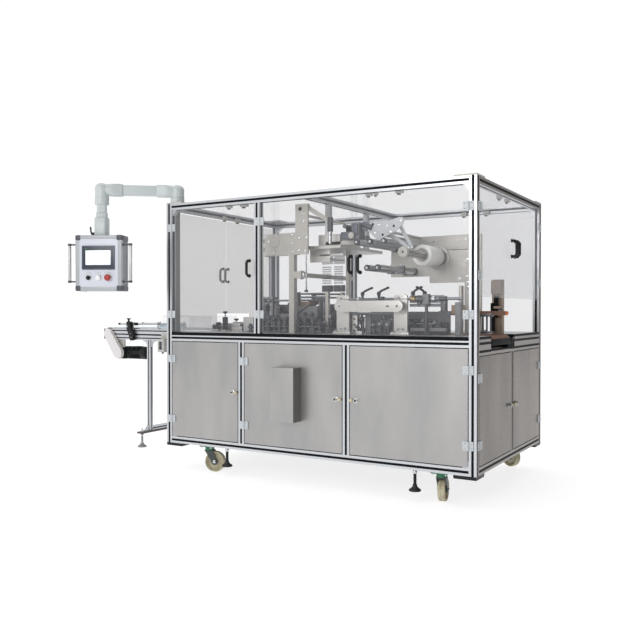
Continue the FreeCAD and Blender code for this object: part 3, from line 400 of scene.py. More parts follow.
BLACK = moulded("black_moulding", (0.010, 0.010, 0.012), 0.36, shine=0.28)
# Black for the deck's painted edge, and for painted shade in grooves, sockets, key slots, holes and the
# outlet opening.
BLACK_AND_SHADE = moulded("black_paint_and_shade", (0.006, 0.007, 0.009), 0.55, shine=0.08)
CAP_GREY = moulded("corner_cap_grey", (0.07, 0.075, 0.09), 0.42)
CAP_PALE = moulded("corner_cap_side", (0.12, 0.13, 0.15), 0.42)
WHITE = moulded("white_moulding", (0.66, 0.685, 0.76), 0.35, 900, 0.03)
PUSH_WHITE = moulded("push_white", (0.86, 0.86, 0.87), 0.3, 900, 0.03)
PANEL_EDGE = painted("panel_edge", (0.44, 0.455, 0.48), (0.36, 0.375, 0.4), 0.3)
PEARL = moulded("guard_pearl", (0.76, 0.735, 0.745), 0.16, 60, 0.02)
HUB_GREY = moulded("foot_grey", (0.26, 0.26, 0.255), 0.45)
GREY_CASE = moulded("grey_case", (0.52, 0.52, 0.50), 0.45)
BEZEL = moulded("bezel_slate", (0.055, 0.068, 0.10), 0.3)
BEZEL_DARK = moulded("bezel_inner", (0.03, 0.036, 0.05), 0.3)
RED = moulded("stop_red", (0.40, 0.035, 0.03), 0.3, 300, 0.03)
CREAM = moulded("cream_knob", (0.62, 0.55, 0.36), 0.4)
FILM = moulded("wound_film", (0.86, 0.86, 0.83), 0.22, 1500, 0.10)
RUBBER = moulded("foot_rubber", (0.022, 0.025, 0.022), 0.5, shine=0.35)
MOTOR = moulded("motor_black", (0.010, 0.011, 0.012), 0.34, 260, 0.10, 0.3)
PALE_BELT = woven_belt("pale_belt", (0.66, 0.76, 0.80), (0.50, 0.62, 0.68))
ORANGE_BELT = woven_belt("orange_belt", (0.70, 0.14, 0.035), (0.45, 0.07, 0.02))
TYRE = cast_wheel()
NOTCH_SHADE_BELT = woven_belt("notch_shade_belt", (0.20, 0.085, 0.05), (0.10, 0.04, 0.025))
BELT_FLANK = woven_belt("belt_flank", (0.22, 0.12, 0.08), (0.12, 0.06, 0.04))
SWITCH_BEIGE = moulded("switch_beige", (0.48, 0.47, 0.44), 0.4)
CLEAR = clear_sheet("clear_guard", (0.56, 0.565, 0.60), 0.22, 0.045)
MESH = clear_sheet("dark_mesh", (0.16, 0.175, 0.20), 0.1, 0.34)
SCREEN = glow("screen", (0.80, 0.85, 0.92), 0.34)
GREEN_LAMP = glow("green_lamp", (0.03, 0.35, 0.10), 0.6)
print("Plastics and rubber:", BLACK.name, PEARL.name, TYRE.name, CLEAR.name)

# %% [markdown]
# The carried-over CAD nodes keep their meshes, and each face may still take a finish of its own.
# `coat` gives a node its materials and asks a small test, face by face, which one to use. The
# grooves of the bars are found by their width: a face that is narrower than the groove is painted
# black, as painted shade inside the open groove.

# %% Coating the frame's nodes
GROOVE = 9.0


def coat(node, *finishes, pick=None):
    """Give a CAD node its finishes; pick(face centre, normal, mesh, face) says which."""
    mesh = frame["nodes"][node].data
    mesh.materials.clear()
    for finish in finishes:
        mesh.materials.append(finish)
    for face in mesh.polygons:
        centre = (Vector(face.center) - CORNER) / MM
        face.material_index = pick(centre, face.normal, mesh, face) if pick else 0


def narrow(centre, normal, mesh, face):
    """1 for a sliver of a face, 0 for the rest: height of its triangle over its longest edge."""
    corners = [Vector(mesh.vertices[index].co) for index in face.vertices]
    longest = max((corners[i] - corners[i - 1]).length for i in range(len(corners))) / MM
    return 1 if 2 * face.area / MM ** 2 / longest < GROOVE else 0


def bar_kind(centre, normal, mesh, face):
    """0 lit aluminium, 1 a groove face in painted shade, 2 painted shade on the side turned to the outlet,
    which sees only the dark of the room.
    """
    if narrow(centre, normal, mesh, face):
        return 1
    return 2 if normal.x > 0.7 and centre.x > LONG - 1 else 0


for node in ("corner_posts", "long_rails", "cross_rails", "mid_posts"):
    coat(node, ALUMINIUM, BLACK_AND_SHADE, PAINTED_SHADE_ALUMINIUM, pick=bar_kind)
coat("corner_plates", BEIGE, BLACK, pick=lambda centre, *_: 1 if centre.z < 1 else 0)
coat("deck_plate", DECK_STEEL, BLACK_AND_SHADE, pick=lambda centre, normal, *_: 0 if abs(normal.z) > 0.5 else 1)
coat("steel_panels", STEEL)
coat("fixed_hinge_leaves", HINGE)
coat("levelling_feet", RUBBER)
coat("caster_plates", GREEN_IRON)
coat("conveyor_belt", PALE_BELT)
coat("clear_panels", CLEAR)
print("Coated the slotted bars, plates and panels")

# %% [markdown]
# New pieces are gathered shape by shape in one mesh. Real edges are never sharp, so blocks are
# bevelled and round parts are turned on a lathe from a short outline of radius and height. `Maker`
# works in millimetres on the drawing, or on a face of the cabinet when it is given that face's turn.

# %% A maker of pieces
AXES = {"x": Matrix.Rotation(math.pi / 2, 4, "Y"), "y": Matrix.Rotation(-math.pi / 2, 4, "X"),
        "z": Matrix.Identity(4)}
ROUND_STEPS = 28


class Maker:
    """Collects shapes in millimetres and turns them into one piece."""

    def __init__(self, turn=None):
        self.mesh = bmesh.new()
        self.turn = turn or Matrix.Identity(4)

    def block(self, low, high, soft=1.0, finish=0, lean=None):
        """A block between two corners, with its edges rounded by soft."""
        low, high = Vector(low), Vector(high)
        middle = (low + high) / 2
        made = bmesh.ops.create_cube(self.mesh, size=1.0)
        verts = made["verts"]
        size = high - low
        bmesh.ops.scale(self.mesh, vec=size, verts=verts)
        faces = {face for vert in verts for face in vert.link_faces}
        for face in faces:
            face.material_index = finish
        if soft > 0:
            edges = list({edge for vert in verts for edge in vert.link_edges})
            offset = min(soft, 0.45 * min(size))
            rounded = bmesh.ops.bevel(self.mesh, geom=edges, offset=offset, segments=2, profile=0.7,
                                      affect="EDGES", clamp_overlap=True, material=finish)
            verts = list({vert for face in rounded["faces"] for vert in face.verts} |
                         {vert for vert in verts if vert.is_valid})
        if lean:
            bmesh.ops.rotate(self.mesh, cent=(0, 0, 0), matrix=lean, verts=verts)
        bmesh.ops.translate(self.mesh, vec=middle, verts=verts)
        return verts

    def lathe(self, at, axis, outline, finish=0, steps=ROUND_STEPS):
        """A turned part: outline is (radius, height) pairs along the axis from at."""
        place = Matrix.Translation(Vector(at)) @ (AXES[axis] if isinstance(axis, str) else axis)
        rings = []
        for radius, height in outline:
            ring = []
            for step in range(steps):
                angle = 2 * math.pi * step / steps
                point = Vector((radius * math.cos(angle), radius * math.sin(angle), height))
                ring.append(self.mesh.verts.new(place @ point))
            rings.append(ring)
        for lower, upper in zip(rings, rings[1:]):
            for step in range(steps):
                after = (step + 1) % steps
                face = self.mesh.faces.new((lower[step], lower[after], upper[after], upper[step]))
                face.material_index = finish
        for ring, flip in ((rings[0], True), (rings[-1], False)):
            face = self.mesh.faces.new(ring[::-1] if flip else ring)
            face.material_index = finish

    def rod(self, start, end, radius, finish=0, steps=16, soft=0.8):
        """A round bar between two points with chamfered ends."""
        start, end = Vector(start), Vector(end)
        along = end - start
        turn = along.to_track_quat("Z", "Y").to_matrix().to_4x4()
        soft = min(soft, radius * 0.4)
        outline = [(radius - soft, 0), (radius, soft), (radius, along.length - soft),
                   (radius - soft, along.length)]
        self.lathe(start, turn, outline, finish, steps)

    def tube(self, points, radius, finish=0, steps=10):
        """A round tube along points, mitred at each one."""
        points = [Vector(point) for point in points]
        rings = []
        side = None
        for index, point in enumerate(points):
            ahead = points[min(index + 1, len(points) - 1)] - points[max(index - 1, 0)]
            ahead.normalize()
            if side is None:
                side = ahead.orthogonal().normalized()
            side = (side - ahead * side.dot(ahead)).normalized()
            other = ahead.cross(side)
            rings.append([self.mesh.verts.new(point + radius * (
                math.cos(2 * math.pi * step / steps) * side + math.sin(2 * math.pi * step / steps) * other))
                for step in range(steps)])
        for lower, upper in zip(rings, rings[1:]):
            for step in range(steps):
                after = (step + 1) % steps
                face = self.mesh.faces.new((lower[step], lower[after], upper[after], upper[step]))
                face.material_index = finish
        for ring, flip in ((rings[0], True), (rings[-1], False)):
            face = self.mesh.faces.new(ring[::-1] if flip else ring)
            face.material_index = finish

    def plate(self, outline, plane, start, thick, finish=0, soft=0.0):
        """A flat plate: outline in two axes of the drawing, thick along the third, with soft rims."""
        axis = "xyz".index(({"x", "y", "z"} - set(plane)).pop())
        first, second = ("xyz".index(letter) for letter in plane)
        rings = []
        for depth in (start, start + thick):
            ring = []
            for point in outline:
                place = [0.0, 0.0, 0.0]
                place[first], place[second], place[axis] = point[0], point[1], depth
                ring.append(self.mesh.verts.new(place))
            rings.append(ring)
        count = len(outline)
        for step in range(count):
            after = (step + 1) % count
            face = self.mesh.faces.new((rings[0][step], rings[0][after], rings[1][after], rings[1][step]))
            face.material_index = finish
        rims = []
        for ring in rings:
            face = self.mesh.faces.new(ring)
            face.material_index = finish
            rims += face.edges
        if soft:
            bmesh.ops.bevel(self.mesh, geom=rims, offset=soft, segments=2, profile=0.7,
                            affect="EDGES", clamp_overlap=True, material=finish)

    def done(self, name, finishes, body="root", replaces=(), soft=None):
        """Close the piece, put it in the scene and let it ride on a body."""
        bmesh.ops.recalc_face_normals(self.mesh, faces=self.mesh.faces)
        self.mesh.transform(DRAWING @ self.turn)
        data = bpy.data.meshes.new(name)
        self.mesh.to_mesh(data)
        self.mesh.free()
        for finish in finishes:
            data.materials.append(finish)
        data.shade_smooth()
        data.set_sharp_from_angle(angle=math.radians(35))
        made = bpy.data.objects.new(name, data)
        bpy.context.collection.objects.link(made)
        if soft:
            rounding = made.modifiers.new("rounding", "BEVEL")
            rounding.width = soft * MM
            rounding.segments = 2
            rounding.limit_method = "ANGLE"
        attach(made, body)
        if replaces:
            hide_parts(*replaces)
        return made


def arc(centre, radius, start, stop, steps=8):
    """Points on an arc in a plane, from one angle to another, in degrees."""
    points = []
    for step in range(steps + 1):
        angle = math.radians(start + (stop - start) * step / steps)
        points.append((centre[0] + radius * math.cos(angle), centre[1] + radius * math.sin(angle)))
    return points


def stadium(first, second, radius, steps=14):
    """Outline round two circles of one radius or of two."""
    low_radius = radius if isinstance(radius, (int, float)) else radius[0]
    high_radius = radius if isinstance(radius, (int, float)) else radius[1]
    dx, dy = second[0] - first[0], second[1] - first[1]
    along = math.degrees(math.atan2(dy, dx))
    lean = math.degrees(math.asin((low_radius - high_radius) / math.hypot(dx, dy)))
    return (arc(first, low_radius, along + 90 - lean, along + 270 + lean, steps) +
            arc(second, high_radius, along - 90 + lean, along + 90 - lean, steps))


print("Maker ready; a rod has", ROUND_STEPS, "sides when turned on the lathe")

# %% [markdown]
# Doors sit on three faces of the cabinet. Each face has its own drawing, with x to the right as
# seen from outside and y into the machine, so one handle and one hinge are drawn once and then
# turned. `islands` splits a CAD node into its loose parts, which tells where the leaves and the
# handles are.

# %% Faces of the cabinet
FACES = {
    "front": Matrix.Identity(4),
    "right": Matrix.Translation((LONG, 0, 0)) @ Matrix.Rotation(math.pi / 2, 4, "Z"),
    "left": Matrix.Translation((0, DEEP, 0)) @ Matrix.Rotation(-math.pi / 2, 4, "Z"),
}


def face_of(node):
    """The face of the cabinet that a door lies on."""
    low, high = on_drawing(node)
    if high.x - low.x > high.y - low.y:
        return "front"
    return "right" if low.x > LONG / 2 else "left"


def islands(node, turn=Matrix.Identity(4)):
    """A node's loose parts on a turned drawing, as (low, high, points) in millimetres."""
    mesh = frame["nodes"][node].data
    back = turn.inverted()
    leader = {}

    def find(key):
        while leader[key] != key:
            leader[key] = leader[leader[key]]
            key = leader[key]
        return key

    keys = [tuple(round(value, 5) for value in vertex.co) for vertex in mesh.vertices]
    for key in keys:
        leader.setdefault(key, key)
    for polygon in mesh.polygons:
        first = find(keys[polygon.vertices[0]])
        for index in polygon.vertices[1:]:
            leader[find(keys[index])] = first
    parts = {}
    for key in leader:
        parts.setdefault(find(key), []).append(back @ ((Vector(key) - CORNER) / MM))
    found = []
    for points in parts.values():
        low = Vector([min(point[axis] for point in points) for axis in range(3)])
        high = Vector([max(point[axis] for point in points) for axis in range(3)])
        found.append((low, high, points))
    return sorted(found, key=lambda part: (round(part[0].z), round(part[0].x)))


CLEAR_DOORS = sorted(name for name in frame["nodes"] if f"{name}_fittings" in frame["nodes"])
STEEL_DOORS = sorted(name for name in frame["nodes"]
                     if name.startswith("lower_") and name.endswith("_door"))
print("Clear doors:", CLEAR_DOORS)
print("Steel doors:", STEEL_DOORS)

# %% [markdown]
# A pull handle is one bar of black nylon, bent in like a bridge, on two round feet. Each hinge leaf
# is a small casting: a plate with a knuckle at one edge and two screws. All leaves are alike, so one
# function draws a leaf where the CAD has one, and the points that stand out furthest tell on which
# edge its knuckle is.

# %% Handles and hinge leaves
GRIP_RADIUS = 8
GRIP_SLANT = 12
FOOT_RADIUS = 10.5
KNUCKLE = 6
LEAF_THICK = 5
SCREW_RADIUS = 4.0
OUTWARD = AXES["y"] @ Matrix.Rotation(math.pi, 4, "X")


def screw(maker, x, y, z, finish=1, dark=2, radius=SCREW_RADIUS, turn=OUTWARD):
    """A screw head that faces out of the cabinet; a dark disc on it paints the shade in its socket."""
    maker.lathe((x, y, z), turn, [(radius, 0), (radius, 0.8), (radius * 0.7, 1.6)], finish, 12)
    middle = turn @ Vector((0, 0, 1.5))
    maker.lathe((x + middle.x, y + middle.y, z + middle.z), turn,
                [(radius * 0.45, 0), (radius * 0.45, 0.3)], dark, 6)


def pull_handle(maker, low, high, finish=0):
    """A bridge handle that fills the box of the CAD handle."""
    x = (low.x + high.x) / 2
    out = low.y + GRIP_RADIUS
    top, bottom = high.z - FOOT_RADIUS, low.z + FOOT_RADIUS
    half = [(x, -1, top), (x, out + GRIP_SLANT, top), (x, out, top - GRIP_SLANT)]
    path = half + [(x, y, top + bottom - z) for x, y, z in reversed(half)]
    maker.tube(path, GRIP_RADIUS, finish, 14)
    for z in (top, bottom):
        maker.lathe((x, 0, z), OUTWARD, [(FOOT_RADIUS, 0), (FOOT_RADIUS, 3), (GRIP_RADIUS, 7)], finish, 20)


def hinge_leaf(maker, low, high, points, finish=0):
    """One leaf with its knuckle and two screws, in the box of the CAD leaf."""
    knuckle = [point for point in points if point.y < low.y + 1]
    axis_x = sum(point.x for point in knuckle) / len(knuckle)
    left = axis_x < (low.x + high.x) / 2
    plate_low = (axis_x + 0.4 if left else low.x, -LEAF_THICK, low.z)
    plate_high = (high.x if left else axis_x - 0.4, 0, high.z)
    maker.block(plate_low, plate_high, 1.2, finish)
    bottom, top = min(point.z for point in knuckle), max(point.z for point in knuckle)
    outline = [(KNUCKLE - 1, 0), (KNUCKLE, 1), (KNUCKLE, top - bottom - 1), (KNUCKLE - 1, top - bottom)]
    maker.lathe((axis_x, -KNUCKLE, bottom), "z", outline, finish, 18)
    x = high.x - 10 if left else low.x + 10
    for z in (low.z + 10, high.z - 10):
        screw(maker, x, -LEAF_THICK, z, finish + 1, finish + 2)


for door in CLEAR_DOORS:
    turn = FACES[face_of(door)]
    hardware = Maker(turn)
    for low, high, points in islands(f"{door}_fittings", turn):
        if high.z - low.z > 60:
            pull_handle(hardware, low, high, 0)
        else:
            hinge_leaf(hardware, low, high, points, 1)
    hardware.done(f"{door}_hardware", [BLACK, HINGE, CHROME, BLACK_AND_SHADE], door,
                  [f"{door}_fittings"])

fixed = 0
for face, turn in FACES.items():
    leaves = Maker(turn)
    for low, high, points in islands("fixed_hinge_leaves", turn):
        if high.y < 1 and low.y > -2 * KNUCKLE - 1 and high.x - low.x > 20:
            hinge_leaf(leaves, low, high, points)
            fixed += 1
    names = ["fixed_hinge_leaves"] if face == "front" else []
    leaves.done(f"post_leaves_{face}", [HINGE, CHROME, BLACK_AND_SHADE], "root", names)
print(len(CLEAR_DOORS), "doors with a handle and", fixed, "leaves on the posts")

# %% [markdown]
# Black strips, a little wider than the grooves, lie almost flush over the grooves of the bars and
# paint the shade inside them. From a few steps away that is what draws the frame: a dark line down
# the middle of every bar. Each bar's box tells its length and where its grooves are, one for every
# forty millimetres of width.

# %% Groove shade strips
SHADE_STRIP_WIDE = 13.0
SHADE_STRIP_OUT = 0.5
dark_pieces = Maker()


def groove_shade_boxes(low, high):
    """The painted shade strips on the four long faces of one bar, as (low, high) boxes."""
    along = max(range(3), key=lambda axis: high[axis] - low[axis])
    across = [axis for axis in range(3) if axis != along]
    for face_axis, wide_axis in (across, across[::-1]):
        rows = round((high[wide_axis] - low[wide_axis]) / BAR)
        for step in range(rows):
            for at, way in ((low[face_axis], -1), (high[face_axis], 1)):
                first, last = low.copy(), high.copy()
                middle = low[wide_axis] + BAR * (step + 0.5)
                first[wide_axis], last[wide_axis] = middle - SHADE_STRIP_WIDE / 2, middle + SHADE_STRIP_WIDE / 2
                first[face_axis], last[face_axis] = sorted((at - way, at + way * SHADE_STRIP_OUT))
                yield first, last


notch_low, notch_high = on_drawing("outfeed_frame")
for node in ("corner_posts", "long_rails", "cross_rails", "mid_posts"):
    for low, high, points in islands(node):
        for first, last in groove_shade_boxes(low, high):
            at_notch = low.x > LONG / 2 and high.z - low.z > BAR + 1 and last.z > notch_low.z
            if node == "cross_rails" and at_notch:
                dark_pieces.block(first, (last.x, notch_low.y - 14, last.z), 0)
                dark_pieces.block((first.x, notch_high.y + 14, first.z), last, 0)
            else:
                dark_pieces.block(first, last, 0)
EDGE_LOW = DECK_LOW - 5
dark_pieces.block((BAR, -SHADE_STRIP_OUT, EDGE_LOW), (LONG - BAR, 2, DECK_TOP), 0)
for low, high, points in islands("corner_plates"):
    if low.z < 0:
        dark_pieces.block((low.x, low.y, low.z - 8), (high.x, high.y, low.z + 1), 2, 1)
# A dark grey block behind the front left post paints the shade on the post's inner side.
SHADE_BLOCK_DEEP = 42
dark_pieces.block((4, BAR + 1, DECK_TOP), (BAR - 2, BAR + SHADE_BLOCK_DEEP, TALL - BAR), 1.5, 2)
dark_pieces.done("groove_shade_strips_and_black_trim", [BLACK_AND_SHADE, BLACK, HUB_GREY], "root")
print("Strips stand", SHADE_STRIP_OUT, "mm out of the bars")

# %% [markdown]
# The clear doors look different from each other. In the photograph the front panes are almost
# invisible, while the doors at the far left end look like pale warm grey sheets, and the rear panes
# are a cool white. Each group gets its own sheet with more or less body, which paints in the
# reflected light it shows. The hood over the belt is clearer again.

# %% Clear sheets
WARM_REFLECTION_SHEET = clear_sheet("warm_painted_reflection", (0.54, 0.50, 0.485), 0.2, 0.17)
COOL_REFLECTION_SHEET = clear_sheet("cool_painted_reflection", (0.50, 0.51, 0.57), 0.25, 0.13)
HOOD_REFLECTION_SHEET = clear_sheet("hood_painted_reflection", (0.66, 0.72, 0.76), 0.5, 0.08)
for door in CLEAR_DOORS:
    coat(door, WARM_REFLECTION_SHEET if face_of(door) == "left" else CLEAR)


def clear_kind(centre, normal, mesh, face):
    """0 for the roof, 1 for the panes at the rear, 2 for the hood over the infeed belt."""
    if centre.y > DEEP - BAR:
        return 1
    return 2 if centre.z < DECK_TOP + 150 else 0


coat("clear_panels", CLEAR, COOL_REFLECTION_SHEET, HOOD_REFLECTION_SHEET, pick=clear_kind)
print("Sheets:", WARM_REFLECTION_SHEET.name, COOL_REFLECTION_SHEET.name, HOOD_REFLECTION_SHEET.name)

# %% [markdown]
# A steel door is one CAD piece with its leaves, its lock and, on the middle one, a folded cover box.
# The sheet itself is flat, so its finish does the work. The leaves and the lock are drawn again over
# the plain ones: a cam lock has a round face with a key slot, and beside it sits the keeper that
# clamps on the bar.

# %% Steel doors
LOCK_RADIUS = 11.4


def steel_kind(turn):
    """0 for the sheet, 1 for a leaf, 2 for the lock, by where a face lies on its own drawing."""
    back = turn.inverted()

    def pick(centre, normal, mesh, face):
        point = back @ centre
        if point.y > -0.2 or point.y < -14.5:
            return 0
        radial = abs(normal.z) > 0.01 or point.y < -12.5
        return 1 if point.y > -12.5 and not (300 < point.z < 380) else (2 if radial or point.y < -1 else 0)
    return pick


def cam_lock(maker, x, z, inward, first=0):
    """A round lock with a key slot, and its keeper towards the bar."""
    maker.lathe((x, 0, z), OUTWARD, [(LOCK_RADIUS + 3, 0), (LOCK_RADIUS + 3, 1.5), (LOCK_RADIUS, 3),
                                     (LOCK_RADIUS, 12.5), (LOCK_RADIUS - 2, 14.4)], first, 24)
    maker.lathe((x, -14.3, z), OUTWARD, [(7.5, 0), (7.5, 0.3)], first + 1, 18)
    # A dark bar on the lock's face paints the shade in its key slot.
    maker.block((x - 1.2, -15.2, z - 5), (x + 1.2, -14.2, z + 5), 0.3, first + 2)
    keeper = x + inward * 27
    maker.lathe((keeper - 12, -8, z), "x", [(3, 0), (6.5, 2), (8, 8), (8, 15), (5, 21), (2, 23)], first + 3,
                18)
    maker.block((keeper - 11, -6, z - 4), (keeper + 9, 0, z + 4), 1.5, first + 3)


for door in STEEL_DOORS:
    face = face_of(door)
    turn = FACES[face]
    # The doors at the outlet end take the darker steel, as painted shade.
    sheet = SHADED_OUTLET_STEEL if face == "right" else STEEL
    coat(door, sheet, HINGE, CHROME, pick=steel_kind(turn))
    trim = Maker(turn)
    points = [turn.inverted() @ ((Vector(vertex.co) - CORNER) / MM)
              for vertex in frame["nodes"][door].data.vertices]
    leaf_points = [point for point in points if -2 * KNUCKLE - 0.2 < point.y < -LEAF_THICK - 3]
    lock_points = [point for point in points if -14.2 < point.y < -13.8]
    lock_x = sum(point.x for point in lock_points) / len(lock_points)
    lock_z = (min(point.z for point in lock_points) + max(point.z for point in lock_points)) / 2
    hinge_x = [point.x for point in leaf_points if abs(point.z - lock_z) > 60]
    axis_x = (min(hinge_x) + max(hinge_x)) / 2
    inward = 1 if axis_x < lock_x else -1
    cam_lock(trim, lock_x, lock_z, inward, 3)
    tops = sorted({round(point.z) for point in leaf_points if abs(point.z - lock_z) > 60})
    for low_z, high_z in ((tops[0], tops[1]), (tops[-2], tops[-1])):
        for z in (high_z - 10, high_z - 35):
            screw(trim, axis_x + inward * 18, -LEAF_THICK, z, 1, 2)
    finishes = [STEEL, CHROME, BLACK_AND_SHADE, CHROME, DARK_STEEL, BLACK_AND_SHADE, CREAM, COVER_SHADE_STEEL]
    if door == "lower_middle_door":
        cover_low = Vector((min(p.x for p in points if p.y < -20), -77,
                            min(p.z for p in points if p.y < -20)))
        cover_high = Vector((max(p.x for p in points if p.y < -20), 0,
                             max(p.z for p in points if p.y < -20)))
        # The cover's side towards the outlet takes the dark steel, as painted shade.
        for corner in trim.block((cover_low.x - 0.6, -77.6, cover_low.z - 0.6),
                                 (cover_high.x + 0.6, -0.2, cover_high.z + 0.6), 1.6, 0):
            for side in corner.link_faces:
                if min(point.co.x for point in side.verts) > cover_high.x - 0.2:
                    side.material_index = 7
    trim.done(f"{door}_trim", finishes, door)
print(len(STEEL_DOORS), "steel doors with locks")

# %% [markdown]
# A caster has a green zinc plate, a dark pressed fork that trails behind its swivel, and a cast
# wheel. The wheel is a lathe shape: two crowned treads with a groove between them and a hollow side,
# which a plain disc lacks.

# %% Casters
JOINTS = {joint["name"]: joint for joint in frame["joints"]}


def joint_frame(name):
    """Where a joint is on the drawing, and its axis."""
    joint = JOINTS[name]
    return (Vector(joint["pos_m"]) - CORNER) / MM, Vector(joint["axis"]).normalized()


WHEEL = [(8, -20), (19, -20), (20, -15), (21, -8), (33, -6), (44, -8), (49, -15), (56, -19.5), (60.5, -17),
         (62.4, -10), (61.5, -3), (59.5, 0), (61.5, 3), (62.4, 10), (60.5, 17), (56, 19.5), (49, 15),
         (44, 8),
         (33, 6), (21, 8), (20, 15), (19, 20), (8, 20)]
for corner in ("front_left", "front_right", "rear_left", "rear_right"):
    axle, across = joint_frame(f"caster_roll_{corner}")
    swivel = joint_frame(f"caster_swivel_{corner}")[0]
    turn = across.to_track_quat("Z", "Y").to_matrix().to_4x4()
    wheel = Maker()
    wheel.lathe(axle, turn, [(12, -20.6), (20, -20.5), (20, 20.5), (12, 20.6)], 1, 24)
    wheel.lathe(axle, turn, WHEEL, 0, 48)
    wheel.done(f"wheel_{corner}", [TYRE, FORK_IRON], f"caster_wheel_{corner}",
               [f"caster_wheel_{corner}"])
    ahead = axle - swivel
    ahead.z = 0
    trail = ahead.length
    ahead.normalize()
    angle = math.atan2(ahead.y, ahead.x)
    fork = Maker(Matrix.Translation((swivel.x, swivel.y, 0)) @ Matrix.Rotation(angle, 4, "Z"))
    top = on_drawing(f"caster_fork_{corner}")[1].z
    half = 21.5
    fork.lathe((0, 0, top - 5), "z", [(27, 0), (29, 2), (29, 5)], 0, 32)
    fork.block((-27, -half - 4, top - 6), (27, half + 4, top - 2), 1.5, 0)
    outline = ([(-25, top - 3), (27, top - 3)] + arc((trail, axle.z), 15, 30, -150, 10))
    for y in (-half - 4, half):
        fork.plate(outline, "xz", y, 4, 0, 1.2)
    fork.rod((trail, -half - 9, axle.z), (trail, half + 9, axle.z), 5.5, 1)
    for side in (-1, 1):
        fork.lathe((trail, side * (half + 4), axle.z),
                   AXES["y"] @ Matrix.Rotation(0 if side > 0 else math.pi, 4, "X"),
                   [(10, 0), (10, 1), (8.5, 1.5), (8.5, 5), (7.5, 6)], 1, 6)
    fork.done(f"fork_{corner}", [FORK_IRON, CHROME], f"caster_swivel_{corner}",
              [f"caster_fork_{corner}"])
bolts = Maker()
for low, high, points in islands("caster_plates"):
    middle = (low + high) / 2
    for dx in (-36, 36):
        for dy in (-36, 36):
            bolts.lathe((middle.x + dx, middle.y + dy, high.z - 6),
                        AXES["z"] @ Matrix.Rotation(math.pi, 4, "X"),
                        [(8, 0), (8, 1.5), (6.5, 1.6), (6.5, 6), (5.5, 7)], 0, 6)
bolts.done("caster_bolts", [CHROME], "root")
print("Casters trail", round(trail), "mm behind their swivels")

# %% [markdown]
# A levelling foot is a bell-shaped base with a threaded stem. The stem turns in a ball at the base
# and carries a bright collar under the rail. The thread is a row of fine ridges on the same lathe
# outline, at two millimetres a turn.

# %% Levelling feet
THREAD = 2.5


def levelling_foot(maker, x, y, low, high, wide):
    """One foot with a base of radius wide; those of the conveyor stand are grey."""
    pad, metal = (2, 3) if x < 0 else (0, 0)
    base = [(wide - 3, 0), (wide, 1.5), (wide, 5), (wide - 2, 9), (0.7 * wide, 14), (17, 19), (13, 24),
            (12, 28), (9, 30)]
    maker.lathe((x, y, low), "z", base, pad, 36)
    stem = []
    z = 26.0
    while z < high - low - 15:
        stem += [(7.6, z), (8.6, z + THREAD * 0.5)]
        z += THREAD
    maker.lathe((x, y, low), "z", stem, metal, 14)
    maker.lathe((x, y, low + 26), "z", [(11, 0), (12.5, 1), (12.5, 8), (11, 9)], metal, 6)
    ball = [(max(2, 12 * math.sin(math.radians(step * 15))), 12 - 12 * math.cos(math.radians(step * 15)))
            for step in range(0, 13)]
    maker.lathe((x, y, high - 24), "z", ball, 1, 20)


feet = Maker()
for low, high, points in islands("levelling_feet"):
    levelling_foot(feet, (low.x + high.x) / 2, (low.y + high.y) / 2, low.z, high.z, (high.x - low.x) / 2)
feet.done("levelling_stems", [RUBBER, CHROME, HUB_GREY, PALE_STEEL], "root",
          ["levelling_feet"])
print("Feet stand or hang at", sorted({round(part[0].z) for part in islands("levelling_feet")}), "mm")

# %% [markdown]
# The arm is aluminium tube with cast elbows. Between the round elbow and the square tube the casting
# changes its section, which a box and a cylinder can't show. `loft` joins rings of any squareness,
# from a circle to a nearly square ring, so one skin runs from the elbow to the tube.

# %% A loft between rings
def ring_points(centre, side, up, half_side, half_up, square, steps):
    """Points of a ring whose corners get squarer as the number square grows; 2 is a circle."""
    points = []
    for step in range(steps):
        angle = 2 * math.pi * (step + 0.5) / steps
        cosine, sine = math.cos(angle), math.sin(angle)
        first = math.copysign(abs(cosine) ** (2 / square), cosine)
        second = math.copysign(abs(sine) ** (2 / square), sine)
        points.append(centre + half_side * first * side + half_up * second * up)
    return points


def loft(maker, rings, finish=0, steps=32):
    """A skin over rings of (centre, side, up, half side, half up, square)."""
    made = []
    for centre, side, up, half_side, half_up, square in rings:
        points = ring_points(Vector(centre), Vector(side), Vector(up), half_side, half_up, square, steps)
        made.append([maker.mesh.verts.new(point) for point in points])
    for lower, upper in zip(made, made[1:]):
        for step in range(steps):
            after = (step + 1) % steps
            maker.mesh.faces.new((lower[step], lower[after], upper[after],
                                  upper[step])).material_index = finish
    for ring in (made[0], made[-1]):
        maker.mesh.faces.new(ring).material_index = finish


print("A loft has 32 points a ring")

# %% Swing arm
hub, down = joint_frame("arm_swing")
drop, down = joint_frame("panel_swivel")
REACH = math.hypot(drop.x - hub.x, drop.y - hub.y)
arm_angle = math.atan2(drop.y - hub.y, drop.x - hub.x)
ARM_TURN = Matrix.Translation((hub.x, hub.y, 0)) @ Matrix.Rotation(arm_angle, 4, "Z")
arm_low, arm_high = on_drawing("swing_arm")
TUBE_Z = hub.z
TUBE_HALF = 30
HUB_LOW = on_drawing("corner_plates")[1].z + 0.3
DROP_LOW = arm_low.z
ELBOW_LOW = TUBE_Z - 92
X, Y, Z = (1, 0, 0), (0, 1, 0), (0, 0, 1)


def sleeve(maker, start, direction):
    """From a round elbow to a square sleeve and its lip, along the tube."""
    steps = ((0, 36, 2.0), (22, 37, 2.2), (38, 38, 2.6), (62, 37.5, 7), (64, 36.5, 9), (112, 36.5, 9),
             (114, 35.5, 9))
    rings = [((start + direction * along, 0, TUBE_Z), Y, Z, half, half, square) for along, half,
             square in steps]
    loft(maker, rings)


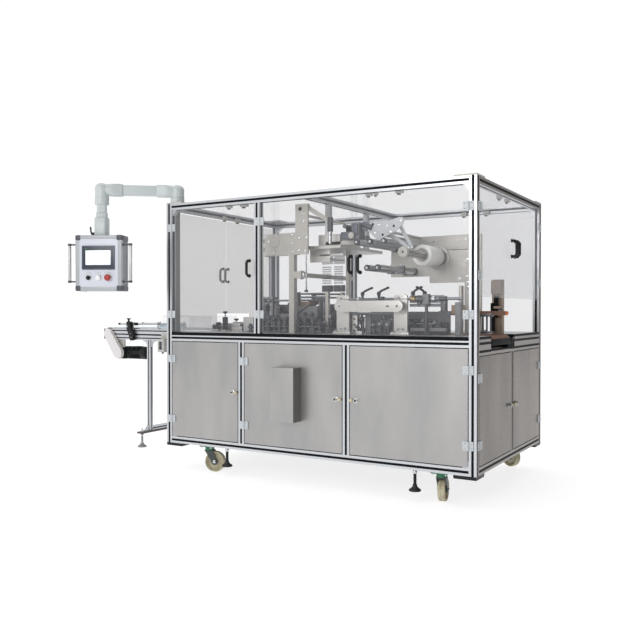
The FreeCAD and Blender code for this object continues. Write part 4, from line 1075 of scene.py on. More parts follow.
def elbow(maker, x, low, collar):
    """An upright elbow with a round crown and a collar at its foot."""
    top = arm_high.z - low
    crown = [(43 * math.cos(math.radians(a)), top - 34 + 34 * math.sin(math.radians(a)))
             for a in range(0, 81, 10)]
    maker.lathe((x, 0, low), "z", [(40, 0), (43, 1.5), (43, collar), (41, collar + 2),
                                   (42, top - 40)] + crown, 0, 40)


arm = Maker(ARM_TURN)
elbow(arm, 0, HUB_LOW, 10)
elbow(arm, REACH, ELBOW_LOW, 46)
sleeve(arm, 12, 1)
sleeve(arm, REACH - 12, -1)
arm.block((100, -TUBE_HALF, TUBE_Z - TUBE_HALF), (REACH - 100, TUBE_HALF, TUBE_Z + TUBE_HALF), 5)
half = 29
loft(arm, [((REACH, 0, z), X, Y, half, half, 6) for z in (DROP_LOW, DROP_LOW + 2, ELBOW_LOW + 6)])
loft(arm, [((REACH, 0, z), X, Y, size, size, 5) for z, size in
           ((DROP_LOW, 33), (DROP_LOW + 3, 34.5), (DROP_LOW + 26, 34.5), (DROP_LOW + 29, 33))])
for x in (60, REACH - 60):
    for y in (-1, 1):
        arm.lathe((x, y * 36, TUBE_Z), AXES["y"] if y > 0 else OUTWARD,
                  [(4, 0), (4, 1.4), (2.6, 1.5), (2.6, 0.6)], 1, 14)
arm.done("panel_arm", [ARM_GREY, CHROME], "swing_arm", ["swing_arm"])


def plate_kind(centre, normal, mesh, face):
    """0 beige plates, 1 the black feet of the posts, 2 the flange that carries the arm."""
    if centre.z < 1:
        return 1
    return 2 if centre.z > TALL + 8.5 else 0


coat("corner_plates", BEIGE, BLACK, ARM_GREY, pick=plate_kind)
print(f"Arm reaches {REACH:.0f} mm at {TUBE_Z:.0f} mm")

# %% [markdown]
# The control panel is an aluminium extrusion case: a white front and rear plate held in rounded edge
# profiles, with grey plastic caps on the corners and ribbed sides. Drawn in its own frame, with the
# front towards minus y, each of these is a short list of blocks. The arm's coupling is a ribbed
# sleeve with a clamp lever.

# %% Panel case
PANEL_ANGLE = math.radians(26)
PANEL_TURN = Matrix.Translation((drop.x, drop.y, 0)) @ Matrix.Rotation(PANEL_ANGLE, 4, "Z")
PANEL_HALF, PANEL_DEPTH = 145, 62.5
panel_low = on_drawing("panel_box")[0].z
panel_high = panel_low + 340
EDGE = 26
CAP = 34

case = Maker(PANEL_TURN)
case.block((-PANEL_HALF + 8, -PANEL_DEPTH + 6, panel_low + 8),
           (PANEL_HALF - 8, PANEL_DEPTH - 6, panel_high - 8), 3, 1)
for front in (-PANEL_DEPTH + 2.5, PANEL_DEPTH - 6.5):
    case.block((-PANEL_HALF + 20, front, panel_low + 20), (PANEL_HALF - 20, front + 4, panel_high - 20), 1,
               0)
for x in (-PANEL_HALF, PANEL_HALF - EDGE):
    for y in (-PANEL_DEPTH, PANEL_DEPTH - EDGE):
        case.block((x, y, panel_low + CAP - 4), (x + EDGE, y + EDGE, panel_high - CAP + 4), 9, 1)
for z in (panel_low, panel_high - EDGE):
    for y in (-PANEL_DEPTH, PANEL_DEPTH - EDGE):
        case.block((-PANEL_HALF + CAP - 4, y, z), (PANEL_HALF - CAP + 4, y + EDGE, z + EDGE), 9, 1)
    for x in (-PANEL_HALF, PANEL_HALF - EDGE):
        case.block((x, -PANEL_DEPTH + CAP - 4, z), (x + EDGE, PANEL_DEPTH - CAP + 4, z + EDGE), 9, 1)
for x in (-PANEL_HALF - 0.4, PANEL_HALF - CAP + 0.4):
    for z in (panel_low - 0.4, panel_high - CAP + 0.4):
        case.block((x, -PANEL_DEPTH - 0.4, z), (x + CAP, PANEL_DEPTH + 0.4, z + CAP), 9, 2)
        case.block((x - 0.2, -PANEL_DEPTH + CAP, z - 0.2),
                   (x + CAP + 0.2, PANEL_DEPTH - CAP, z + CAP + 0.2), 9, 5)
for side in (-1, 1):
    for y in range(-26, 27, 13):
        x = side * (PANEL_HALF - 6.5)
        case.block((x - 2.5, y - 4, panel_low + 26), (x + 2.5, y + 4, panel_high - 26), 1.8, 1)
rings = [(0, 37, 5), (3, 39, 5), (14, 39, 5), (15, 37.5, 5), (18, 37.5, 5), (19, 39, 5), (30, 39, 5),
         (31, 37.5, 5),
         (34, 37.5, 5), (35, 39, 5), (106, 39, 5), (109.5, 37, 5)]
loft(case, [((0, 0, panel_high + rise), X, Y, half, half, square) for rise, half, square in rings], 3)
case.rod((-36, -8, panel_high + 14), (-62, -14, panel_high + 12), 8, 4)
case.tube([(-60, -14, panel_high + 11), (-63, -16, panel_high + 20), (-66, -18, panel_high + 54)], 5, 4)
case.done("panel_case", [WHITE, PANEL_EDGE, CAP_GREY, ARM_GREY, BLACK, CAP_PALE], "panel",
          ["panel_box"])
print(f"Panel case {2 * PANEL_HALF} x {2 * PANEL_DEPTH} x {panel_high - panel_low:.0f} mm")

# %% [markdown]
# The operator sees a slate bezel with a lit screen, a black selector, a white push button and a red
# mushroom stop. The screen glows a little, so it keeps its white under soft light. A push button is
# a chrome ring with a domed cap, drawn as two lathe outlines.

# %% Controls
GRIP_OUT = 46
FRONT_TURN = OUTWARD
controls = Maker(PANEL_TURN)
parts = islands("panel_controls", PANEL_TURN)
bezel = max(parts, key=lambda part: (part[1].x - part[0].x) if part[1].y < -60 else 0)
bezel_low, bezel_high = bezel[0], bezel[1]
face_y = -PANEL_DEPTH
middle_z = (bezel_low.z + bezel_high.z) / 2
controls.block(bezel_low, (bezel_high.x, face_y + 3, bezel_high.z), 4, 0)
controls.block((bezel_low.x + 9, bezel_low.y - 0.5, bezel_low.z + 9),
               (bezel_high.x - 9, bezel_low.y + 1, bezel_high.z - 9), 0.8, 1)
controls.block((-78, bezel_low.y - 0.9, middle_z - 44), (78, bezel_low.y + 1, middle_z + 44), 0.4, 2)
controls.lathe((bezel_low.x + 27, bezel_low.y - 0.4, bezel_high.z - 17), FRONT_TURN, [(2.4, 0), (2.4, 0.8)],
               3, 12)
buttons = sorted((part for part in parts if part[1].y < -60 and part is not bezel),
                 key=lambda part: part[0].x)
for kind, (low, high, points) in zip(("selector", "push", "stop"), buttons):
    x, z = (low.x + high.x) / 2, (low.z + high.z) / 2
    controls.lathe((x, face_y + 2.5, z), FRONT_TURN, [(17, 0), (17, 3), (15.5, 4.5)], 4, 28)
    if kind == "selector":
        controls.lathe((x, face_y, z), FRONT_TURN, [(14, 0), (14, 7), (12.5, 9)], 5, 28)
        controls.block((x - 5, face_y - 16, z - 13), (x + 5, face_y - 4, z + 13), 2, 5)
        controls.block((x - 0.8, face_y - 15.4, z + 3), (x + 0.8, face_y - 14, z + 10), 0.3, 6)
    elif kind == "push":
        controls.lathe((x, face_y, z), FRONT_TURN,
                       [(15.5, 0), (15.5, 9), (14.5, 11.5), (10, 13.5), (4, 14.2)], 11, 28)
    else:
        controls.lathe((x, face_y, z), FRONT_TURN, [(13, 0), (13, 12)], 4, 28)
        controls.lathe((x, face_y - 11, z), FRONT_TURN,
                       [(17, 0), (19.8, 2), (19.8, 7), (18, 11), (12, 14), (5, 15)], 7, 36)
for x, tag_z, wide in ((-62, 110, 30), (0, 110, 26), (62, 110, 26)):
    controls.block((x - wide / 2, face_y + 1.9, panel_low + tag_z),
                   (x + wide / 2, face_y + 2.3, panel_low + tag_z + 3), 0.1, 8)
for low, high, points in parts:
    if high.y < -60:
        continue
    side = 1 if low.x > 0 else -1
    x, y = side * (PANEL_HALF + GRIP_OUT), (low.y + high.y) / 2
    controls.lathe((x, y, low.z + 6), "z",
                   [(8, 0), (9, 2), (9, high.z - low.z - 14), (8, high.z - low.z - 12)], 9, 20)
    for step in range(10):
        angle = 2 * math.pi * step / 10
        controls.rod((x + 8.6 * math.cos(angle), y + 8.6 * math.sin(angle), low.z + 12),
                     (x + 8.6 * math.cos(angle), y + 8.6 * math.sin(angle), high.z - 12), 1.2, 9, 6, 0.3)
    for z in (low.z, high.z - 14):
        inner = side * (PANEL_HALF - 0.5)
        controls.block((min(inner, x - 8), y - 5, z + 2), (max(inner, x + 8), y + 5, z + 12), 3, 10)
        controls.lathe((x, y, z), "z", [(9, 0), (11, 1.5), (11, 12.5), (9, 14)], 10, 20)
        controls.block((inner - 2, y - 10, z - 1), (inner + 3, y + 10, z + 15), 2, 10)
finishes = [BEZEL, BEZEL_DARK, SCREEN, GREEN_LAMP, CHROME, BLACK, WHITE, RED, GREY_CASE, PALE_STEEL,
            CAP_GREY, PUSH_WHITE]
controls.done("panel_face", finishes, "panel", ["panel_controls"])
print("Screen 158 x 96 mm in a bezel", round(bezel_high.x - bezel_low.x), "mm wide")

# %% [markdown]
# The belt drive hides under a glossy pearl cover, a long rounded shape that slants from the belt's
# end roller down to the motor. It is a stadium outline with two radii, made thick and softened at
# the rim. Behind it sits the beige mounting plate and the gearbox.

# %% Drive cover
guard_low, guard_high = on_drawing("drive_guard")
UPPER_RADIUS, LOWER_RADIUS = 36, 42
upper = (guard_low.x + UPPER_RADIUS, guard_high.z - UPPER_RADIUS)
lower = (guard_high.x - LOWER_RADIUS, guard_low.z + LOWER_RADIUS)
cover = Maker()
shell = stadium(upper, lower, (UPPER_RADIUS, LOWER_RADIUS), 18)
cover.plate(shell, "xz", guard_low.y, guard_high.y - guard_low.y - 5, 0, 5)
back = stadium((upper[0] + 5, upper[1]), (lower[0] + 6, lower[1] - 1), (UPPER_RADIUS + 1, LOWER_RADIUS + 2),
               18)
cover.plate(back, "xz", guard_high.y - 5, 5, 1, 0.8)
for share in (0.12, 0.5, 0.88):
    x = upper[0] + (lower[0] - upper[0]) * share + 37 + 7 * share
    z = upper[1] + (lower[1] - upper[1]) * share + 20
    cover.block((x - 9, guard_high.y - 9, z - 7), (x + 6, guard_high.y - 4, z + 7), 1.5, 1)
    screw(cover, x - 1, guard_high.y - 9, z, 2, 3, 3.5)
cover.done("drive_cover", [PEARL, BEIGE, CHROME, BLACK_AND_SHADE], "root", ["drive_guard"])
print("Drive cover slants", round(upper[1] - lower[1]), "mm down")

# %% [markdown]
# The motor is a small three-phase one: a finned body, a rounded fan cover and a terminal box on
# top, flanged to a ribbed gearbox. The fins are thin blocks set round the axis.

# %% Gear motor
GEARBOX = 100
gear_x, gear_z = lower[0], lower[1]
gear_y = guard_high.y + 15
drive = Maker()
start = gear_x + GEARBOX / 2
axis_y = gear_y + GEARBOX / 2
drive.block((gear_x - 46, gear_y, gear_z - 46), (gear_x + 46, gear_y + GEARBOX, gear_z + 46), 9)
for step in range(5):
    y = gear_y + 14 + step * 18
    drive.block((gear_x - 49.5, y - 2, gear_z - 42), (gear_x + 49.5, y + 2, gear_z + 42), 1.2)
drive.lathe((gear_x, guard_high.y, gear_z), "y", [(30, 0), (34, 2), (34, 14), (28, 16)], 1, 32)
drive.lathe((start - 6, axis_y, gear_z), "x", [(46, 0), (47.5, 2), (47.5, 12), (44, 14), (37, 20)], 0, 36)
drive.lathe((start + 10, axis_y, gear_z), "x", [(38, 0), (38, 125), (40, 126)], 0, 36)
for step in range(24):
    angle = 2 * math.pi * step / 24
    if abs(math.degrees(angle) - 90) < 40:
        continue
    lean = Matrix.Rotation(angle, 4, "X")
    fin = lean @ Vector((0, 41, 0))
    centre = Vector((start + 78, axis_y, gear_z)) + fin
    drive.block(centre - Vector((54, 5.5, 1)), centre + Vector((54, 5.5, 1)), 0.5, 0, lean)
drive.lathe((start + 132, axis_y, gear_z), "x",
            [(46, 0), (47.5, 2), (47.5, 40), (44, 50), (30, 57), (10, 58)], 0, 36)
drive.block((start + 34, axis_y - 30, gear_z + 34), (start + 104, axis_y + 30, gear_z + 47), 4, 0)
drive.block((start + 36, axis_y - 28, gear_z + 46), (start + 102, axis_y + 28, gear_z + 49), 2, 1)
drive.rod((start + 60, axis_y - 44, gear_z + 38), (start + 60, axis_y - 28, gear_z + 38), 8, 2)
rail_low = on_drawing("conveyor_frame")[0].z
drive.block((gear_x - 40, gear_y, gear_z + 40), (gear_x + 40, gear_y + 12, rail_low + 14), 1.5, 3)
drive.done("belt_motor", [MOTOR, DARK_STEEL, BLACK, BEIGE], "root", ["drive_motor"])
print("Motor ends at", round(start + 190), "mm")

# %% [markdown]
# Two thin rods guide the packs along the belt. They sit in small clamps on the side rails, and a
# slanted black bracket at the near side holds the adjusting screw. Small parts like these are what
# make a conveyor look used rather than drawn.

# %% Guide rods and bracket
feed_low, feed_high = on_drawing("conveyor_frame")
RAIL_TOP = rail_low + 80
SIDE = 15
ROD_Z = 722
near_y, far_y = feed_low.y, feed_high.y
guides = Maker()
rods = [part for part in islands("guide_rails") if part[1].x - part[0].x > 200]
bracket = min(islands("guide_rails"), key=lambda part: part[1].x - part[0].x)
for low, high, points in rods:
    near = low.y < (near_y + far_y) / 2
    y = high.y - 6 if near else low.y + 6
    guides.rod((low.x, y, ROD_Z), (high.x, y, ROD_Z), 6, 0)
    guides.rod((low.x - 0.5, y, ROD_Z), (low.x + 16, y, ROD_Z), 8, 1)
    for x in (low.x + 168, high.x - 34):
        post_y = near_y + SIDE / 2 if near else far_y - SIDE / 2
        guides.lathe((x, post_y, RAIL_TOP), "z",
                     [(9, 0), (9, 3), (5, 4), (5, ROD_Z - RAIL_TOP + 8), (8, ROD_Z - RAIL_TOP + 9),
                      (8, ROD_Z - RAIL_TOP + 14)], 0, 20)
        first, last = sorted((post_y, y))
        guides.block((x - 6, first - 7, ROD_Z - 7), (x + 6, last + 8, ROD_Z + 7), 3, 0)
        if x < low.x + 200 and near:
            guides.lathe((x - 12, y, ROD_Z), "x", [(8, 0), (11, 3), (11, 36), (8, 39)], 1, 20)
    if not near:
        guides.block((low.x + 170, y + 4, RAIL_TOP + 8), (high.x, y + 10, ROD_Z - 2), 2, 2)
low, high, points = bracket
slant = [(low.x - 4, high.z - 30), (low.x + 6, high.z - 24), (low.x + 24, high.z - 24),
         (low.x + 34, high.z - 32),
         (low.x + 37, high.z - 70), (low.x + 44, high.z - 92), (low.x + 66, high.z - 112),
         (low.x + 64, high.z - 134),
         (low.x + 58, low.z + 2), (low.x + 34, low.z), (low.x + 16, low.z + 50), (low.x - 1, high.z - 84)]
guides.plate(slant, "xz", low.y, high.y - low.y, 1, 2.5)
knob_x, knob_y = low.x + 7, (low.y + high.y) / 2
guides.lathe((knob_x, knob_y, high.z - 28), "z",
             [(8, 0), (8, 10), (6, 12), (8, 18), (15, 23), (15.5, 26), (12, 28)], 1, 22)
guides.rod((low.x + 8, low.y - 1, high.z - 60), (low.x + 8, low.y + 10, high.z - 60), 5, 0)
screw(guides, low.x + 44, low.y, low.z + 24, 0, 1)
screw(guides, low.x + 36, low.y, low.z + 52, 0, 1)
guides.done("belt_guides", [PALE_STEEL, BLACK, PALE_BELT], "root", ["guide_rails"])
print(len(rods), "guide rods at", ROD_Z, "mm")

# %% [markdown]
# The switch box hangs from the near rail on a bent beige plate: a grey case with a pale face, and
# two black rocker buttons under each other.

# %% Switch box
switch_low, switch_high = on_drawing("switch_box")
case_y = switch_low.y + 8
case_top = switch_low.z + 95
switch = Maker()
switch.block((switch_low.x, switch_high.y - 4, case_top - 4), (switch_high.x, switch_high.y, switch_high.z),
             1, 1)
switch.block((switch_low.x + 2, case_y, switch_low.z), (switch_high.x - 2, switch_high.y, case_top), 5, 0)
switch.block((switch_low.x + 17, case_y - 1.6, switch_low.z + 14),
             (switch_high.x - 17, case_y + 1, switch_low.z + 84), 1.2, 6)
middle_x = (switch_low.x + switch_high.x) / 2
for rise in (33, 62):
    z = switch_low.z + rise
    switch.block((middle_x - 11, case_y - 6, z - 13), (middle_x + 11, case_y - 1, z + 13), 3, 3)
    switch.block((middle_x - 3, case_y - 6.6, z - 3), (middle_x + 3, case_y - 5, z + 3), 1, 0)
for x in (switch_low.x + 18, switch_high.x - 18):
    screw(switch, x, switch_high.y - 4, case_top + 22, 4, 5, 5)
switch.rod((middle_x, case_y + 22, switch_low.z - 10), (middle_x, case_y + 22, switch_low.z + 4), 8, 3)
switch.done("start_stop_box", [GREY_CASE, BEIGE, HINGE, BLACK, CHROME, BLACK_AND_SHADE, PALE_PLATE], "root",
            ["switch_box"])
print("Switch box hangs", round(RAIL_TOP - switch_low.z), "mm under the rail's top")

# %% [markdown]
# The conveyor's rails and stand keep their CAD shapes. What they lack are the fittings: caps on the
# rail ends, tensioner blocks for the end roller, and curved gussets between legs and rails.

# %% Conveyor fittings
stand_low, stand_high = on_drawing("conveyor_stand")
LEG = 30
PLATE_THICK = 12
leg_x = (stand_low.x + stand_high.x - LEG) / 2
fittings = Maker()
for y in (near_y, far_y - SIDE):
    fittings.block((feed_low.x, y - 0.3, rail_low - 0.3), (feed_low.x + 5, y + SIDE + 0.3, RAIL_TOP + 0.3),
                   1, 0)
    outer = y - 5 if y == near_y else y + SIDE
    fittings.block((feed_low.x + 14, outer, rail_low + 24), (feed_low.x + 74, outer + 5, rail_low + 70),
                   1.5, 1)
    for x in (feed_low.x + 24, feed_low.x + 64):
        turn = OUTWARD if y == near_y else AXES["y"]
        edge = outer if y == near_y else outer + 5
        fittings.lathe((x, edge, rail_low + 47), turn, [(6.5, 0), (6.5, 4), (5.5, 5)], 2, 6)
GUSSET = 50
for leg_y in (near_y + 2, far_y - SIDE + 3):
    for side in (-1, 1):
        corner_x = leg_x if side < 0 else leg_x + LEG
        centre = (corner_x + side * GUSSET, rail_low - GUSSET)
        curve = arc(centre, GUSSET - 8, 90, 180 if side > 0 else 0, 10)
        outline = [(corner_x, rail_low),
                   (corner_x + side * GUSSET, rail_low)] + curve + [(corner_x, rail_low - GUSSET)]
        fittings.plate(outline, "xz", leg_y, 9, 1, 0.6)
plate_top = stand_low.z + PLATE_THICK
for y, side in ((near_y - LEG / 2 + SIDE / 2, -1), (far_y + LEG / 2 - SIDE / 2, 1)):
    outline = [(y, plate_top), (y + side * 34, plate_top), (y + side * 34, plate_top + 5),
               (y + side * 5, plate_top + 36), (y, plate_top + 36)]
    fittings.plate(outline, "yz", leg_x + 3, 24, 1, 1)
for y in (stand_low.y + 25, stand_high.y - 25):
    fittings.lathe((leg_x + LEG / 2, y, plate_top), "z", [(13, 0), (13, 10), (8, 11), (8, 22), (6, 24)], 2,
                   6)
fittings.done("conveyor_fittings", [CAP_GREY, HINGE, CHROME], "root")
# The stand's narrow groove faces are painted black as their shade.
coat("conveyor_stand", ALUMINIUM, BLACK_AND_SHADE, STAND_STEEL,
     pick=lambda centre, normal, mesh, face: 2
     if centre.z < plate_top + 0.1 else narrow(centre, normal, mesh, face))


def feed_kind(centre, normal, mesh, face):
    """0 aluminium, 1 grooves in black painted shade, 2 the steel rollers and bed inside."""
    if near_y + SIDE + 1 < centre.y < far_y - SIDE - 1:
        return 2
    return narrow(centre, normal, mesh, face)


coat("conveyor_frame", ALUMINIUM, BLACK_AND_SHADE, CHROME, pick=feed_kind)
print("Gussets and caps on the conveyor")

# %% [markdown]
# The film reel turns on an air shaft: a steel tube with thin rubber strips that swell and grip the
# core. Everything here is turned work, so it is drawn as lathe outlines along the machine's depth.
# The film itself is a milky cylinder with a dark core at its middle.

# %% Spindle and reel
WALL_FRONT = on_drawing("guide_rollers")[1].y
reel_low, reel_high = on_drawing("film_reel")
spindle_low = on_drawing("film_spindle")[0]
reel_x, reel_z = (reel_low.x + reel_high.x) / 2, (reel_low.z + reel_high.z) / 2
front = spindle_low.y
REEL_RADIUS = (reel_high.z - reel_low.z) / 2
DISC_START = WALL_FRONT - 40 - front

spindle = Maker()
spindle.lathe((reel_x, front, reel_z), "y",
              [(9, 5), (9, 1.5), (21, 1.5), (22, 0.2), (26, 0.6), (28.4, 4), (28.4, 21), (26, 24),
               (20, 24.5)], 0, 36)
spindle.lathe((reel_x, front, reel_z), "y", [(5, 0.3), (5, 3)], 3, 6)
spindle.lathe((reel_x, front, reel_z), "y", [(23.5, 24), (23.5, DISC_START), (23, DISC_START + 1)], 1, 36)
for step in range(8):
    angle = 2 * math.pi * step / 8
    x, z = reel_x + 22.6 * math.cos(angle), reel_z + 22.6 * math.sin(angle)
    spindle.rod((x, front + 34, z), (x, reel_low.y + 20, z), 1.3, 3, 6, 0.4)
spindle.lathe((reel_x, front, reel_z), "y",
              [(30, DISC_START - 24), (50, DISC_START - 22), (52, DISC_START - 20), (52, DISC_START + 8),
               (55, DISC_START + 9),
                                             (55, DISC_START + 14), (48, DISC_START + 15),
               (48, DISC_START + 30), (15, DISC_START + 30), (15, DISC_START + 78)], 0, 44)
spindle.lathe((reel_x, front, reel_z), "y",
              [(54, DISC_START + 8), (56, DISC_START + 9.5), (56, DISC_START + 12.5),
               (54, DISC_START + 14)], 2, 44)
spindle.done("air_shaft", [BEIGE, DARK_CHROME, DARK_GREEN, RUBBER], "film_spindle",
             ["film_spindle"])

reel = Maker()
long = reel_high.y - reel_low.y
reel.lathe((reel_x, reel_low.y, reel_z), "y",
           [(38, 1.2), (55, 0.2), (REEL_RADIUS - 1, 1), (REEL_RADIUS, 3), (REEL_RADIUS, long - 3),
                                               (REEL_RADIUS - 1, long - 1), (38, long - 1)], 0, 56)
reel.lathe((reel_x, reel_low.y, reel_z), "y",
           [(25, 0.2), (37.5, 0.2), (38.4, 1), (38.4, long - 1), (25, long - 0.2)], 1, 40)
reel.done("wrapping_film", [FILM, DARK_CHROME], "film_spindle", ["film_reel"])
print(f"Reel {2 * REEL_RADIUS:.0f} mm across and {long:.0f} mm wide")

# %% [markdown]
# Five idle rollers stand out from the wall like fingers and lead the film. Each has a dark bearing
# cap with a small shaft end, which shows well because the camera looks along them.

# %% Guide rollers
ROLLER_LONG = WALL_FRONT - on_drawing("guide_rollers")[0].y
idlers = Maker()
for low, high, points in islands("guide_rollers"):
    x, z = (low.x + high.x) / 2, (low.z + high.z) / 2
    radius = (high.z - low.z) / 2
    place = (x, low.y, z)
    idlers.lathe(place, "y", [(4.5, 2), (4.5, 0.2), (8, 0.2), (8.5, 3), (13, 3)], 0, 20)
    idlers.lathe(place, "y", [(8, 3), (radius - 2, 3), (radius, 5), (radius, 15), (radius - 1, 16)], 1, 28)
    idlers.lathe(place, "y", [(radius - 1, 16), (radius - 0.3, 17), (radius - 0.3, ROLLER_LONG - 18),
                              (radius - 2, ROLLER_LONG - 17)], 2, 28)
    idlers.lathe(place, "y", [(radius + 2, ROLLER_LONG - 14), (radius + 4, ROLLER_LONG - 12),
                              (radius + 4, ROLLER_LONG)], 1, 28)
    if z < 1100:
        idlers.block((x - 21, low.y + 300, z - 21), (x + 21, low.y + 324, z + 24), 3, 1)
        idlers.rod((x, low.y + 312, z + 20), (x, low.y + 312, z + 34), 5, 0)
idlers.block((1344, 396, 1036), (1408, 420, 1066), 3, 1)
idlers.done("idle_rollers", [CHROME, ROLLER_GREY, PALE_STEEL], "root", ["guide_rollers"])
print("Rollers are", round(ROLLER_LONG), "mm long")

# %% [markdown]
# The wall that carries all this is brushed stainless plate, bolted to its post. The seam between its
# two sheets and the bolt heads are what give it scale. A dark bearing flange sits behind the reel.

# %% Film wall
WALL_BOLTS = ((1533, 1221), (1681, 1223), (1729, 1223), (1735, 1108), (1687, 1000), (1732, 1011),
              (1738, 976), (1738, 948))
OUTLET_POST_X = 1870


def wall_kind(centre, normal, mesh, face):
    """0 the stainless wall, 1 the brown post at the outlet, 2 the dark bearing behind."""
    if centre.y > WALL_FRONT + 16 and abs(centre.x - reel_x) < 50 and centre.z > 1060:
        return 2
    return 1 if centre.x > OUTLET_POST_X else 0


coat("film_wall", WALL_STEEL, POST_BROWN, DARK_STEEL, pick=wall_kind)
wall = Maker()
for x, z in WALL_BOLTS:
    wall.lathe((x, WALL_FRONT, z), OUTWARD, [(10, 0), (10, 1.2), (7.5, 1.4), (7.5, 5), (6, 6.5)], 1, 18)
    # A dark disc on each bolt head paints the shade in its socket.
    wall.lathe((x, WALL_FRONT - 6.4, z), OUTWARD, [(3, 0), (3, 0.3)], 2, 6)
wall.block((1386, WALL_FRONT - 0.5, 1169), (1819, WALL_FRONT + 1, 1171.4), 0.1, 2)
wall.block((1386, WALL_FRONT - 1.4, 1171.4), (1819, WALL_FRONT + 1, 1253), 0.6, 0)
wall.block((1640, WALL_FRONT - 1.4, 985), (1644, WALL_FRONT + 1, 1168), 0.6, 0)
wall.lathe((reel_x, WALL_FRONT, reel_z), OUTWARD, [(70, 0), (70, 3), (66, 5), (50, 5)], 0, 48)
for step in range(6):
    angle = math.radians(60 * step + 20)
    wall.lathe((reel_x + 62 * math.cos(angle), WALL_FRONT - 5, reel_z + 62 * math.sin(angle)), OUTWARD,
               [(4.5, 0), (4.5, 3), (3, 4)], 1, 6)
wall.block((1700, 560, 686), (1716, 598, 960), 2, 0)
wall.block((1883, 575, 910), (1939, 598, 985), 3, 4)
wall.block((1886, 560, 700), (1900, 598, 860), 2, 2)
wall.rod((1912, 580, 780), (1912, 580, 900), 12, 2)
wall.block((1884, 566, 828), (1938, 600, 842), 2, 4)
wall.done("wall_fittings", [WALL_STEEL, CHROME, BLACK_AND_SHADE, DARK_GREEN, POST_BROWN], "root")
print(len(WALL_BOLTS), "bolts in the wall")

# %% [markdown]
# A dancer arm keeps the film tight: a light plate with holes, two thin links and a counterweight.
# The plate is one outline, made thick. It hangs on two tie rods from the wall.

# %% Dancer
DANCER_Y = 200
DANCER = [(1297, 1295), (1334, 1310), (1432, 1309), (1492, 1327), (1515, 1325), (1522, 1310), (1516, 1288),
          (1474, 1252), (1377, 1208), (1356, 1212), (1297, 1267)]
LINKS = (((1465, 1297), (1543, 1163)), ((1391, 1257), (1525, 1163)))
dancer = Maker()
dancer.plate(DANCER, "xz", DANCER_Y - 4, 8, 0, 1.2)
for x, z in ((1313, 1281), (1345, 1246), (1440, 1249), (1500, 1305), (1420, 1283), (1370, 1290)):
    dancer.lathe((x, DANCER_Y - 4, z), OUTWARD, [(9, 0), (9, 1), (7, 1.2), (7, 4), (5, 5)], 1, 16)
# The plate's holes are dark discs on its face: painted shade in place of openings.
for x, z in ((1462, 1280), (1395, 1235), (1335, 1296)):
    dancer.lathe((x, DANCER_Y - 4, z), OUTWARD, [(7, 0), (7, 0.3)], 2, 18)
for x, z in ((1345, 1246), (1440, 1249)):
    dancer.rod((x, DANCER_Y, z), (x, WALL_FRONT, z), 9, 1)
for (x0, z0), (x1, z1) in LINKS:
    dancer.plate(stadium((x0, z0), (x1, z1), 9), "xz", 256, 7, 0, 1)
    for x, z in ((x0, z0), (x1, z1)):
        dancer.lathe((x, 256, z), OUTWARD, [(6, 0), (6, 4), (4, 5)], 1, 14)
dancer.rod((1465, DANCER_Y, 1297), (1465, 262, 1297), 7, 1)
dancer.rod((1391, DANCER_Y, 1257), (1391, 262, 1257), 7, 1)
dancer.rod((1272, DANCER_Y, 1302), (1330, DANCER_Y, 1276), 17, 3)
dancer.block((1214, 170, 1221), (1262, 240, 1310), 4, 5)
dancer.block((1222, 162, 1240), (1256, 172, 1300), 2, 3)
dancer.lathe((1220, 160, 1237), OUTWARD, [(18, 0), (18, 7), (15, 10)], 4, 28)
dancer.block((1250, 190, 1262), (1300, 210, 1292), 2, 3)
dancer.block((990, 262, 1198), (1280, 282, 1221), 2, 4)
dancer.block((1204, 236, 1205), (1274, 284, 1240), 3, 5)
dancer.block((1140, 180, 1222), (1204, 270, 1262), 3, 3)
dancer.rod((1180, 150, 1290), (1180, 250, 1290), 12, 3)
dancer.block((1168, 190, 1258), (1192, 215, 1292), 2, 2)
dancer.done("dancer_arm", [PALE_PLATE, CHROME, BLACK_AND_SHADE, ROLLER_GREY, BEIGE, CASTING], "root")
print("Dancer plate has", len(DANCER), "corners")

# %% [markdown]
# The side belt unit stands near the front: a long beam with round ends on two end plates, a drive
# shaft above it, and clamp levers to set the width. It covers a lot of the picture, so it is drawn
# again in full instead of coated.

# %% Side belt unit
unit_low = on_drawing("side_belt_unit")[0]
BEAM_LEFT, BEAM_RIGHT, BEAM_LOW, BEAM_TOP = 1132, 1550, 810, 872
PLATE_LOW = DECK_TOP
unit = Maker()
middle_z = (BEAM_LOW + BEAM_TOP) / 2
beam = stadium((BEAM_LEFT + 31, middle_z), (BEAM_RIGHT - 31, middle_z), 31)
unit.plate(beam, "xz", unit_low.y, 26, 0, 1.5)
unit.plate(stadium((BEAM_LEFT + 40, middle_z), (BEAM_RIGHT - 33, middle_z), 26), "xz", unit_low.y + 26, 33,
           3, 1)
